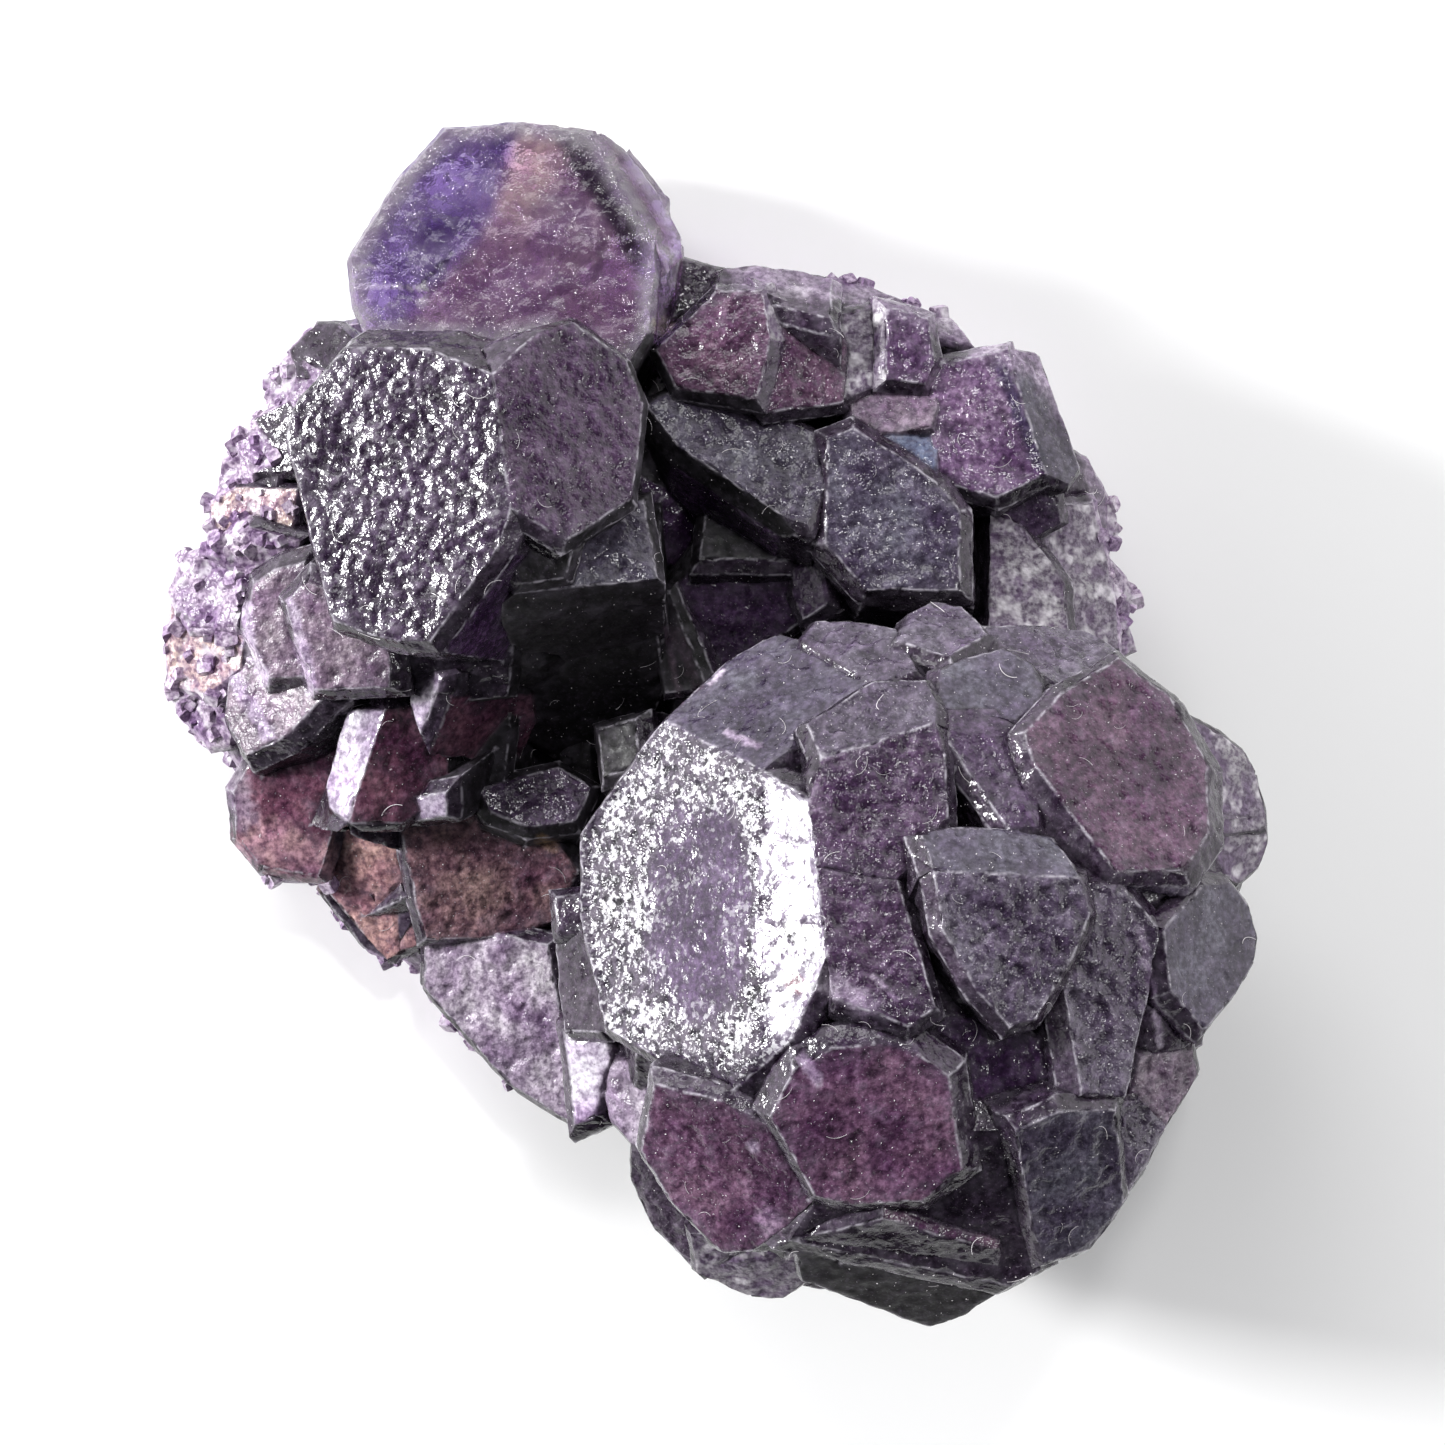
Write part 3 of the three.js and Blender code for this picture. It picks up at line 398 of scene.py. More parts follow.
SEEN_AT = {
    "plum": [(-9.5, 18), (10, -13), (10, -5)],
    "window": [(25, -3), (9, -25), (0, -28), (13, -31.5), (5, 23), (-0.8, 23.8)],
    "veil": [(2, 1.5), (17.5, -8), (22, -28.5), (-8, 11.2), (1.5, 17), (10.5, 13), (20.2, 19),
             (30.8, -14), (17, 2.5)],
    "rough": [(18, -13), (24.5, -17), (21, 4.8), (13.5, 5.8), (9, 4.5), (9.5, 1), (27, -10.5),
              (26, -26)],
    "dark": [(17, -3), (28, -19), (5.5, 9.5), (19, 13), (-11.7, -4.8)],
    "black": [(-8.5, 3.5), (11, -35.3), (-11.7, 10.6), (-6, -1.4)],
    "deep purple": [(-16.5, 5), (16, -22), (-3, 13.5), (0.5, 7), (1.3, 12)],
    "wine": [(-15.3, -1), (-27.3, -3.5), (-19.5, -2.5)],
    "lit": [(-23, -2.5), (-18.4, 2), (-18.7, -5.4), (-8.3, -22)],
    "brown": [(-14.5, -9.5)],
    "rose": [(-22, -10)],
    "lilac": [(-13.5, -17.5), (-5.8, -23.5)],
    "frosted": [(11, 20), (-24, 5.5), (-28, 6), (-29, 1), (28, -22.5)],
    "violet": [(16.5, 18.5), (11.6, 23.6)],
    "blue": [(11.7, 17)],
    "edge glass": [(3.3, 27.3), (10, 26), (8.7, 23.6), (32, -4), (32.6, -8), (22.5, 9.5), (19, 9),
                   (2, -34.5)],
    "peach": [(-30.5, 12.5), (-33.5, 4.5)],
    "glazed": [(-2, -11)],
    "grained": [(-20, 14)],
}

tree = BVHTree.FromPolygons([Vector(p) for p in spots], triangles.tolist())


def facet_seen_at(x, y):
    way = Vector((x, y, -(EYE - SCALE_LEVEL)))
    triangle = tree.ray_cast(Vector((0, 0, EYE)), way)[2]
    return facet_of[triangle]


facet_seen = seen_place(facet_middle)
random_tone = rng.uniform(-1, 1, facet_count)
look = {key: np.full(facet_count, value) for key, value in PLAIN.items() if key != "colour"}
facet_colour = linear(PLAIN["colour"]) * (1 + 0.3 * random_tone[:, None])
finish_of = np.full(facet_count, "plain", dtype=object)


def give_finish(chosen, name, spread=0.0):
    """Lays a named finish on facets, its colour a little lighter or darker from one to the next."""
    finish = {**PLAIN, "rough": NAMED_ROUGH, **FINISHES[name]}
    for key in look:
        look[key][chosen] = finish[key]
    facet_colour[chosen] = linear(finish["colour"]) * (1 + spread * random_tone[chosen, None])
    finish_of[chosen] = name


for name, places in SEEN_AT.items():
    give_finish(np.array([facet_seen_at(x, y) for x, y in places]), name)
print((finish_of != "plain").sum(), "faces named")

# %% [markdown]
# The small facets between the named ones follow what they lie in. Down the left edge, along the right rim
# and under the body it is the pale crust that the dark crystals grew on. The deep valley in the middle is
# painted nearly black, as painted shade, because light that enters there hardly comes out again. The other
# small facets are painted darker the steeper they stand and the more they face the picture's lower edge,
# also as painted shade.

# %% Crust, valley and top crystal by place
CRUST_EDGE = [(-24.6, 26), (-26.9, 20), (-29.2, 14), (-29, 9.6), (-31.2, 4.6), (-31.2, -2), (-31, -9)]
RIM_EDGE = [(2, 28.2), (14, 25.6), (20.6, 21.5), (23, 15.8), (24, 8), (25.4, 2)]
UNDER = 5.5  # below this height everything but the ball is crust
LEFT_CRUST_TOP, RIM_TOP = 13.0, 14.0  # how high the crust reaches on the left and along the rim
BALL_MIDDLE = np.array([11.6, -16.0])
BALL_REACH = 23.2
BALL_SIDE = np.array([0.62, -0.78])  # the way from the body towards the ball
VALLEY_HALF = 5.0  # half the width of the valley
VALLEY = [(-4.5, 20), (-4, 12), (-8.5, 3), (-12, -2), (-7, -6)]


def smooth_step(value, low, high):
    part = np.clip((value - low) / (high - low), 0, 1)
    return part * part * (3 - 2 * part)


def side_of(places, path):
    """How far flat places lie to the left of a path that is walked from its first point."""
    starts, stops = np.array(path[:-1]), np.array(path[1:])
    near = np.stack([distance_to(places, a[None], b[None]) for a, b in zip(starts, stops)], axis=1)
    closest = near.argmin(axis=1)
    along, away = stops[closest] - starts[closest], places - starts[closest]
    return np.sign(along[:, 0] * away[:, 1] - along[:, 1] * away[:, 0]) * near.min(axis=1)


from_ball = np.linalg.norm(facet_seen - BALL_MIDDLE, axis=1)
on_ball = (from_ball < BALL_REACH) & (facet_seen @ BALL_SIDE > 3.0)
unnamed = finish_of == "plain"
across, up = facet_seen[:, 0], facet_middle[:, 2]
in_crust = (side_of(facet_seen, CRUST_EDGE) < 0) & (up < LEFT_CRUST_TOP) & (across < -20)
in_crust |= (side_of(facet_seen, RIM_EDGE) > 0) & (up < RIM_TOP) & ~on_ball & (across > 0)
in_crust |= (up < UNDER) & ~on_ball
in_valley = (np.abs(side_of(facet_seen, VALLEY)) < VALLEY_HALF) & (facet_normal[:, 2] > -0.2)
in_crust &= ~in_valley
# Painted shade: the small unnamed facets are darkened the steeper they stand and the more they face the
# picture's lower edge.
painted_shade_by_facing = 0.30 + 0.70 * smooth_step(facet_normal[:, 2], 0.15, 0.8)
painted_shade_by_facing *= 1 - 0.5 * smooth_step(-facet_normal[:, 1], 0.2, 0.7)
facet_colour[unnamed] *= painted_shade_by_facing[unnamed, None]
# Painted shade: the valley's small facets take the near-black finish.
give_finish(unnamed & in_valley, "black", 0.5)
give_finish(unnamed & in_crust, "crust", 0.2)
at_top = (facet_seen[:, 1] > 23.4) & (np.abs(facet_seen[:, 0] + 13.1) < 10.7) & (facet_middle[:, 2] < 19.2)
at_top[[facet_seen_at(-13, 30), facet_seen_at(-4, 32.5)]] = True
print((finish_of == "crust").sum(), "crust facets,", at_top.sum(), "of the top crystal")

# %% [markdown]
# ## Relief
#
# Fluorite faces are never mirrors. They are etched, they carry growth steps a few hundredths of a
# millimetre high, and their edges are worn and chipped. All of it is made by moving the fine
# mesh's points, so it is real shape. The patterns come from one smooth noise whose bump size is
# given in millimetres.

# %% Smooth noise
def grain(places, size, seed):
    """Gradient noise from about -1 to 1, its bumps about size millimetres apart."""
    q = places / size + 31.7 * seed
    cell = np.floor(q).astype(np.int64)
    part = q - cell
    fade = part ** 3 * (part * (part * 6 - 15) + 10)
    total = np.zeros(len(places))
    for corner in np.ndindex(2, 2, 2):
        key = ((cell + corner) * np.array([73856093, 19349663, 83492791])).sum(axis=1) + 1013 * seed
        key = (key ^ (key >> 13)) * 1274126177 & 0x7FFFFFFF
        slopes = np.stack([(key >> shift & 1023) / 511.5 - 1 for shift in (2, 11, 20)], axis=1)
        weight = np.where(corner, fade, 1 - fade).prod(axis=1)
        total += weight * (slopes * (part - corner)).sum(axis=1)
    return 1.5 * total


# %% Values of the facets carried to the points
def mean_at_points(values):
    """Each point's mean of a facet value over the triangles round it."""
    corner = fine_triangles.reshape(-1)
    count = np.maximum(np.bincount(corner, minlength=len(points)), 1)
    flat = np.repeat(values[fine_facet], 3, axis=0).reshape(len(corner), -1)
    sums = [np.bincount(corner, column, minlength=len(points)) / count for column in flat.T]
    return np.stack(sums, axis=1).squeeze()


on_edge = np.ones(len(points), bool)
edge_mm = np.zeros(len(points))
inner = np.fromiter(edge_distance.keys(), int)
on_edge[inner] = False
edge_mm[inner] = np.fromiter(edge_distance.values(), float)
outward = mean_at_points(facet_normal)
outward /= np.maximum(np.linalg.norm(outward, axis=1), 1e-9)[:, None]
point_look = {key: mean_at_points(values) for key, values in look.items()}
point_colour = mean_at_points(facet_colour)
seen = seen_place(points)
print(on_edge.sum(), "points on edges of", len(points))

# %% [markdown]
# Etching leaves fine pits and grains. The growth steps are terraces: a slowly changing height is
# rounded to levels, and finer noise makes their edges ragged. The hammered face has bumps about
# half a millimetre wide that are drawn out towards the lower left.

# %% Etching, steps and hammering
STREAK = np.array([[0.55, 0.45, 0.0], [-0.45, 0.55, 0.0], [0.0, 0.0, 1.0]])

etched = 0.045 * grain(points, 0.55, 1) + 0.055 * grain(points, 1.1, 2)
pits = -0.10 * smooth_step(grain(points, 0.9, 21), 0.28, 0.5)
hammered = 0.11 * grain(points @ STREAK, 0.42, 3) + 0.07 * grain(points, 0.6, 4)
terrace = grain(points, 3.6, 5) + 0.45 * grain(points, 1.0, 6) + 0.2 * grain(points, 0.5, 22)
level = np.round(terrace * 4) / 4
stepped = 0.30 * (level + 0.1 * (terrace - level))
rolling = 0.07 * grain(points, 5.5, 7)
fine_height = point_look["etch"] * (etched + pits) + point_look["hammer"] * hammered
height = fine_height + point_look["steps"] * stepped + rolling

# %% [markdown]
# The glazed face has a dull middle inside a ring of wormy ridges. Its right strip is smooth and slopes down
# to the edge, which turns it towards the window, and that is why it shines white. Its shine is also
# painted: the strip is coloured pale grey as a painted highlight, and the ridges and the strip carry white
# flecks as painted glints.

# %% The glazed face
GLAZED_AT = (-2, -11)
DULL_MIDDLE, DULL_HALF = np.array([-1.2, -12.0]), np.array([3.4, 6.6])
STRIP_FROM = 2.4  # where the smooth strip starts, in seen millimetres
GLAZED_LEFT = -3.0  # where the middle's slope starts from no height
STRIP_SLOPE = 0.17
MIDDLE_SLOPE = 0.07

of_glazed = mean_at_points((np.arange(facet_count) == facet_seen_at(*GLAZED_AT)) * 1.0) > 0.99
on_glaze = of_glazed & ~on_edge
wander = grain(points, 3.0, 8) + 0.5 * grain(points, 1.0, 23)
off_middle = np.linalg.norm((seen - DULL_MIDDLE) / DULL_HALF, axis=1)
in_strip = smooth_step(seen[:, 0] + 0.9 * wander, STRIP_FROM, STRIP_FROM + 0.8)
in_worms = smooth_step(off_middle + 0.25 * wander, 0.85, 1.15) * (1 - 0.85 * in_strip)
worms = 0.20 * (0.5 - np.abs(grain(points, 0.8, 9))) + 0.08 * grain(points, 0.45, 10)
sloped = MIDDLE_SLOPE * (np.minimum(seen[:, 0], STRIP_FROM) - GLAZED_LEFT)
sloped -= STRIP_SLOPE * np.maximum(seen[:, 0] - STRIP_FROM, 0)
height[on_glaze] = (in_worms * worms + sloped + 0.3 * (1 - in_strip) * etched)[on_glaze]
fine_height[on_glaze] = (in_worms * worms)[on_glaze]
point_look["etch"] = np.where(of_glazed, 0.5 + 1.1 * in_worms - 0.35 * in_strip, point_look["etch"])
# Painted glints: the ridges and the smooth strip get white flecks drawn as glints.
point_look["painted_glints"] = np.where(of_glazed, 0.15 + 0.25 * in_worms + 0.6 * in_strip, point_look["painted_glints"])
point_look["rough"] = np.where(of_glazed, 0.17 - 0.05 * in_worms, point_look["rough"])
# Painted highlight: the smooth strip is coloured pale grey where it shines in the window's light.
painted_strip_highlight = (in_strip * of_glazed)[:, None]
point_colour += (linear("#aaa7af") - point_colour) * painted_strip_highlight
point_colour += (linear("#26232c") - point_colour) * (0.9 * in_worms * of_glazed)[:, None]
print("worms on", round(in_worms[on_glaze].mean(), 2), "of the glazed face")

# %% [markdown]
# The relief fades out at each edge, so that neighbouring faces still meet. The edges themselves
# are moved a little to the side, pulled in where they are worn, and deeper where a chip is gone.

# %% Move the points
FADE = 0.45  # mm from an edge over which the relief grows
WANDER_WIDE, WANDER_FINE = 0.09, 0.06  # how far edges stray from straight, in mm
WEAR, CHIP = 0.03, 0.20

height *= smooth_step(edge_mm, 0.0, FADE)
stray = [WANDER_WIDE * grain(points, 2.6, seed) + WANDER_FINE * grain(points, 0.7, seed + 3)
         for seed in (11, 12, 13)]
chipped = WEAR + CHIP * smooth_step(grain(points, 0.9, 17), 0.15, 0.5)
resting = points[:, 2] < 0.02
shift = np.stack(stray, axis=1) + outward * (height - np.where(on_edge, chipped, 0))[:, None]
low_corner, high_corner = np.array(cad_box[0]) / MM, np.array(cad_box[1]) / MM
moved = np.clip(points + shift * (~resting)[:, None], low_corner, high_corner)
print("relief from", height.min().round(2), "to", height.max().round(2), "mm")

# %% [markdown]
# Creases between faces are marked sharp, so that each face keeps its own plane in the light. An edge that
# sticks out is also drawn pale, partly as real wear and partly as a painted highlight where it catches the
# light, and its points carry that as a value for the material.

# %% Creases
SHARP_FROM = 14.0  # degrees between two faces
RUBBED_AND_HIGHLIGHT_FROM = 25.0  # degrees
RUBBED_AND_HIGHLIGHT_AREA = 2.5  # mm2: smaller facets are too sheltered for the pale rubbed edge and its painted highlight

first, second = facet_of[left[between]], facet_of[right[between]]
opposite = [next(v for v in triangles[t] if v not in edges[e]) for e, t in zip(between, right[between])]
rises = ((spots[opposite] - spots[edges[between][:, 0]]) * facet_normal[first]).sum(axis=1)
agree = (facet_normal[first] * facet_normal[second]).sum(axis=1)
bend = np.degrees(np.arccos(np.clip(agree, -1, 1)))
smaller = np.minimum(facet_area[first], facet_area[second])
sharp_pairs = []
rubbed_and_highlight = np.zeros(len(points))
for k in np.flatnonzero(bend > SHARP_FROM):
    ends = set(edges[between[k]].tolist())
    chain = next(c for c in outline[first[k]] if {c[0], c[-1]} == ends)
    sharp_pairs += zip(chain, chain[1:])
    if rises[k] < 0 and bend[k] > RUBBED_AND_HIGHLIGHT_FROM and smaller[k] > RUBBED_AND_HIGHLIGHT_AREA:
        rubbed_and_highlight[chain] = 1.0
sharp_pairs = np.sort(np.array(sharp_pairs), axis=1)
print(len(sharp_pairs), "sharp edges,", int(rubbed_and_highlight.sum()), "rubbed points")

# %% [markdown]
# ## Colour zones and marks
#
# Fluorite grows in layers, and each layer takes its own colour. In the top crystal they show as bands: deep
# violet on the left, a pinkish line, purple, a dark band and a colourless rim. The crystal at the right
# edge of the group has one dark blue layer. Chips and scuffs are pale. Some marks are painted light and
# shade instead: glints, a pale line on the right edge, a pale top rim, a paler edge on the top crystal and
# a black spot for a hole.

# %% Bands of the top crystal
VIOLET_EDGE = [(-11.9, 39), (-13, 35), (-15, 30), (-18.2, 27), (-20, 24)]
DARK_BAND = [(-10.6, 38.6), (-7.4, 33.4), (-4.2, 28)]
CLEAR_EDGE = [(-8.4, 38.6), (-5.5, 34.6), (-2.3, 29)]

on_top = mean_at_points(at_top * 1.0) > 0.5
top_seen = seen[on_top] + 0.35 * np.stack([grain(points[on_top], 1.6, seed) for seed in (24, 26)], axis=1)
left_of_violet = -side_of(top_seen, VIOLET_EDGE)
upward = smooth_step(top_seen[:, 1], 27, 37)
lower = smooth_step(-top_seen[:, 1], -33, -28)


def blend(under, text, weight):
    return under + (linear(text) - under) * weight[:, None]


def cloudy(text, other, size, seed, low, high):
    """One colour for each point of the top crystal, in soft clouds of two."""
    clouds = smooth_step(grain(points[on_top], size, seed), low, high)
    return blend(np.tile(linear(text), (len(top_seen), 1)), other, clouds)


bands = cloudy("#946f92", "#b896b8", 3.0, 27, -0.5, 0.6)
rose_line = smooth_step(-np.abs(left_of_violet + 1.2), -2.6, -0.4)
bands = blend(bands, "#f0cdd0", 0.95 * upward * rose_line)
violet = cloudy("#9c86be", "#6d5496", 2.4, 28, -0.3, 0.6)
bands += (violet - bands) * smooth_step(left_of_violet, -0.5, 0.9)[:, None]
bands = blend(bands, "#d3cce0", 0.85 * smooth_step(left_of_violet, 4.0, 7.0) * lower)
in_band = smooth_step(-np.abs(side_of(top_seen, DARK_BAND)), -1.5, -0.6)
bands = blend(bands, "#2b2436", 0.85 * in_band)
bands = blend(bands, "#d9d4dd", 0.9 * smooth_step(side_of(top_seen, CLEAR_EDGE), -0.3, 0.5))
# Painted light: the top crystal is drawn paler within about a millimetre of its edges, on faces that look
# up.
painted_top_edge_light = smooth_step(-edge_mm[on_top], -1.3, -0.2) * (outward[on_top, 2] > 0.3)
bands = blend(bands, "#e4dde6", 0.9 * painted_top_edge_light)
point_colour[on_top] = bands

# %% Marks drawn along short lines
# Each mark has a colour, the places where it starts and ends, half its width and its strength.
MARKS = [
    ("#232048", (17.3, 22.5), (19.9, 16.0), 0.5, 0.75),
    ("#a58ba6", (13.6, 21.5), (15.2, 19.5), 1.2, 0.5),
    ("#1a141c", (4.0, -13.0), (6.0, -14.5), 0.3, 0.9),
    ("#9c4a48", (4.5, -16.2), (4.6, -16.4), 0.6, 0.6),
    ("#d8d4da", (6.2, -16.0), (9.0, -17.8), 0.8, 0.5),
    ("#e6e2e6", (9.5, -16.0), (10.8, -17.3), 0.15, 0.8),
    # Painted glints: a white streak and a short white mark where the faces catch the light.
    ("#efecef", (0.3, -0.6), (2.3, -1.5), 0.25, 0.9),
    ("#e8e4e8", (-0.8, 2.3), (0.0, 3.2), 0.2, 0.8),
    ("#dcd8dc", (5.0, -21.0), (6.0, -22.5), 0.35, 0.8),
    ("#dcd8dc", (1.8, -26.5), (2.0, -26.7), 0.35, 0.8),
    ("#f0ead2", (-3.8, 24.8), (-3.7, 24.9), 0.6, 0.9),
    # Painted shade: a black spot for a small hole.
    ("#0b080a", (-3.1, 25.7), (-2.9, 25.9), 0.7, 0.95),
    ("#eeeaf0", (-22.5, 27.3), (-18.5, 27.2), 0.14, 0.9),
    ("#eeeaf0", (-23.1, 28.6), (-21.7, 28.5), 0.14, 0.9),
    ("#f4f0f4", (-18.8, 26.3), (-18.7, 26.3), 0.35, 0.9),
    ("#2c2140", (-16.9, 29.3), (-19.0, 27.3), 0.14, 0.8),
    ("#57484f", (-2.9, 5.6), (-1.6, 2.2), 0.4, 0.7),
    ("#75676e", (-3.5, 5.8), (-2.6, 1.2), 0.2, 0.8),
    ("#b59a5c", (-11.3, -7.4), (-10.6, -7.8), 0.4, 0.6),
    ("#e6c3ba", (-29.0, -7.4), (-25.5, -9.0), 1.7, 0.75),
    ("#b9aeba", (-31.2, -1.5), (-29.8, -6.0), 0.9, 0.6),
    ("#efecf0", (-29.6, 7.2), (-29.7, 4.8), 0.4, 0.95),
    ("#efecf0", (-29.7, 4.8), (-28.6, 2.6), 0.4, 0.95),
    ("#f2eff3", (-27.0, 7.4), (-25.6, 2.0), 0.4, 0.95),
    ("#e4e0e8", (-30.5, 2.8), (-28.4, -0.8), 0.5, 0.8),
    ("#e3d3dc", (2.8, -31.0), (2.9, -31.2), 0.9, 0.6),
    # Painted highlight: a pale line where the right edge mirrors the bright surroundings.
    ("#cfcbd2", (26.2, -13.0), (27.4, -20.0), 0.25, 0.7),
]
# Painted light: a pale band along the thin top rim of the right group.
PAINTED_RIM_LIGHT = [(1.5, 28.3), (8.5, 27.4), (14.5, 24.9), (20.3, 22.2), (23.4, 17.5), (25.0, 11.5), (26.5, 5.0)]
MARKS += [("#c3bac6", start, stop, 1.3, 0.7) for start, stop in zip(PAINTED_RIM_LIGHT, PAINTED_RIM_LIGHT[1:])]
facing = mean_at_points(facet_normal)[:, 2] > 0
for text, start, stop, half_width, strength in MARKS:
    near = distance_to(seen, np.array([start]), np.array([stop]))
    ragged = near / half_width + 0.5 * grain(points, 0.5, 25)
    weight = strength * smooth_step(-ragged, -1.2, -0.6) * facing
    point_colour += (linear(text) - point_colour) * weight[:, None]
print(len(MARKS), "marks drawn")

# %% [markdown]
# ## Cutting the stone into pieces
#
# One mesh of the whole stone would be too heavy, so it is divided into the ball, the left and
# right groups, the top crystal and the crust. The cuts run along creases between crystals, where
# neighbouring pieces share their points, so that together they close the stone without a gap.

# %% Build a piece
POINT_VALUES = {
    "rough": point_look["rough"], "etch": point_look["etch"], "painted_glints": point_look["painted_glints"],
    "edge_mm": np.minimum(edge_mm, 6.0), "rubbed_and_highlight": rubbed_and_highlight, "raised": np.clip(0.5 + 5.0 * fine_height, 0, 1)}


def mesh_of(name, chosen):
    """A plain mesh of the chosen fine triangles, and the number of each of its points among all."""
    used, index = np.unique(fine_triangles[chosen], return_inverse=True)
    mesh = bpy.data.meshes.new(name)
    mesh.vertices.add(len(used))
    mesh.vertices.foreach_set("co", (moved[used] * MM).ravel())
    mesh.loops.add(index.size)
    mesh.loops.foreach_set("vertex_index", index.ravel())
    mesh.polygons.add(index.size // 3)
    mesh.polygons.foreach_set("loop_start", np.arange(0, index.size, 3))
    mesh.update(calc_edges=True)
    return mesh, used


def add_piece(name, chosen, material):
    mesh, used = mesh_of(name, chosen)
    for attribute, values in POINT_VALUES.items():
        mesh.attributes.new(attribute, "FLOAT", "POINT").data.foreach_set("value", values[used])
    colours = np.concatenate([point_colour[used], np.ones((len(used), 1))], axis=1)
    mesh.attributes.new("body", "FLOAT_COLOR", "POINT").data.foreach_set("color", colours.ravel())
    ends = np.empty(len(mesh.edges) * 2, np.int32)
    mesh.edges.foreach_get("vertices", ends)
    ends = np.sort(used[ends.reshape(-1, 2)], axis=1)
    sharp = np.isin(ends @ (len(points), 1), sharp_pairs @ (len(points), 1))
    mesh.attributes.new("sharp_edge", "BOOLEAN", "EDGE").data.foreach_set("value", sharp)
    mesh.materials.append(material)
    print(name, len(mesh.polygons), "triangles")
    return new_object(name, mesh)


# %% [markdown]
# ## The stone's materials
#
# All the crystals are fluorite, a soft glassy mineral that bends light very little. What differs
# is how it grew. The dark crystals are so full of colour that they look solid, the crust behind
# them is milky, and the crystal at the top is clear enough to see bands of colour inside it.
#
# Each starts from the colour that the points carry and lays further colours over it. Where
# each one lies is told by masks: patches of noise with a size in millimetres, and values that the
# points carry, such as how raised a point is or how far it is from an edge.

# %% Helpers for nodes
IOR_OF_FLUORITE = 1.434
FIRST, SECOND = 6, 7  # the sockets of a mix node that hold its two colours


def add(tree, kind, inputs=None, **properties):
    """Adds a node. Each input is given either a value or the output that feeds it."""
    made = tree.nodes.new(kind)
    for name, value in properties.items():
        setattr(made, name, value)
    for name, value in (inputs or {}).items():
        if isinstance(value, bpy.types.NodeSocket):
            tree.links.new(value, made.inputs[name])
        else:
            made.inputs[name].default_value = value
    return made


def colour(text):
    return (*linear(text), 1.0)


def new_material(name):
    """A material with an empty tree, the tree, and the object's own coordinates in it."""
    material = bpy.data.materials.new(name)
    material.use_nodes = True
    tree = material.node_tree
    tree.nodes.clear()
    return material, tree, add(tree, "ShaderNodeTexCoord").outputs["Object"]


def patches(tree, place, size, low, high, detail=2.0):
    """A mask from 0 to 1 in patches about size millimetres wide, from noise between two levels."""
    noise = add(tree, "ShaderNodeTexNoise", {"Vector": place, "Scale": 1 / (size * MM),
                                             "Detail": detail, "Roughness": 0.6})
    levels = {"Value": noise.outputs[0], "From Min": low, "From Max": high}
    return add(tree, "ShaderNodeMapRange", levels).outputs[0]


def carried(tree, name, low, high):
    """A mask from a value that the mesh's points carry, 0 at the low value and 1 at the high one."""
    value = add(tree, "ShaderNodeAttribute", attribute_name=name)
    levels = {"Value": value.outputs["Fac"], "From Min": low, "From Max": high}
    return add(tree, "ShaderNodeMapRange", levels).outputs[0]


def layered(tree, layers):
    """The colour that the points carry, with others laid over it as strongly as their masks say."""
    shade = add(tree, "ShaderNodeAttribute", attribute_name="body").outputs["Color"]
    for way, text, weight, *masks in layers:
        for mask in masks:
            weight = add(tree, "ShaderNodeMath", {0: weight, 1: mask}, operation="MULTIPLY").outputs[0]
        inputs = {0: weight, FIRST: shade, SECOND: colour(text)}
        shade = add(tree, "ShaderNodeMix", inputs, data_type="RGBA", blend_type=way).outputs[2]
    return shade


# %% Dark fluorite, its faces etched by solution
# The deep colour swallows light. The skin of pits and grains breaks the faces up into many small dark and
# pale flecks with a few glints, so that the stone looks glassy and old at once; the pits are darkened as
# painted shade, the raised grains lightened as painted highlight, and white flecks are painted glints.
# Real pits go down to hundredths of a millimetre. The pits of this skin are drawn 0.14 to 0.55 mm
# wide and the flecks from about 0.2 to 0.4 mm, because finer ones blur to a dull grey felt.
dark, tree, place = new_material("dark fluorite, solution etched faces")
# Painted glints: a mask of white flecks, thickest where the finish asks for most glints.
painted_glint_flecks = {0: patches(tree, place, 1.8, 0.0, 1.0, 6.0), 1: 0.6, 2: patches(tree, place, 0.38, 0.0, 1.0, 5.0)}
painted_glint_flecks = add(tree, "ShaderNodeMath", painted_glint_flecks, operation="MULTIPLY_ADD").outputs[0]
painted_glint_flecks = {0: carried(tree, "painted_glints", 0.0, 2.0), 1: 0.32, 2: painted_glint_flecks}
painted_glint_flecks = add(tree, "ShaderNodeMath", painted_glint_flecks, operation="MULTIPLY_ADD").outputs[0]
painted_glint_flecks = {"Value": painted_glint_flecks, "From Min": 0.89, "From Max": 0.97}
painted_glint_flecks = add(tree, "ShaderNodeMapRange", painted_glint_flecks).outputs[0]
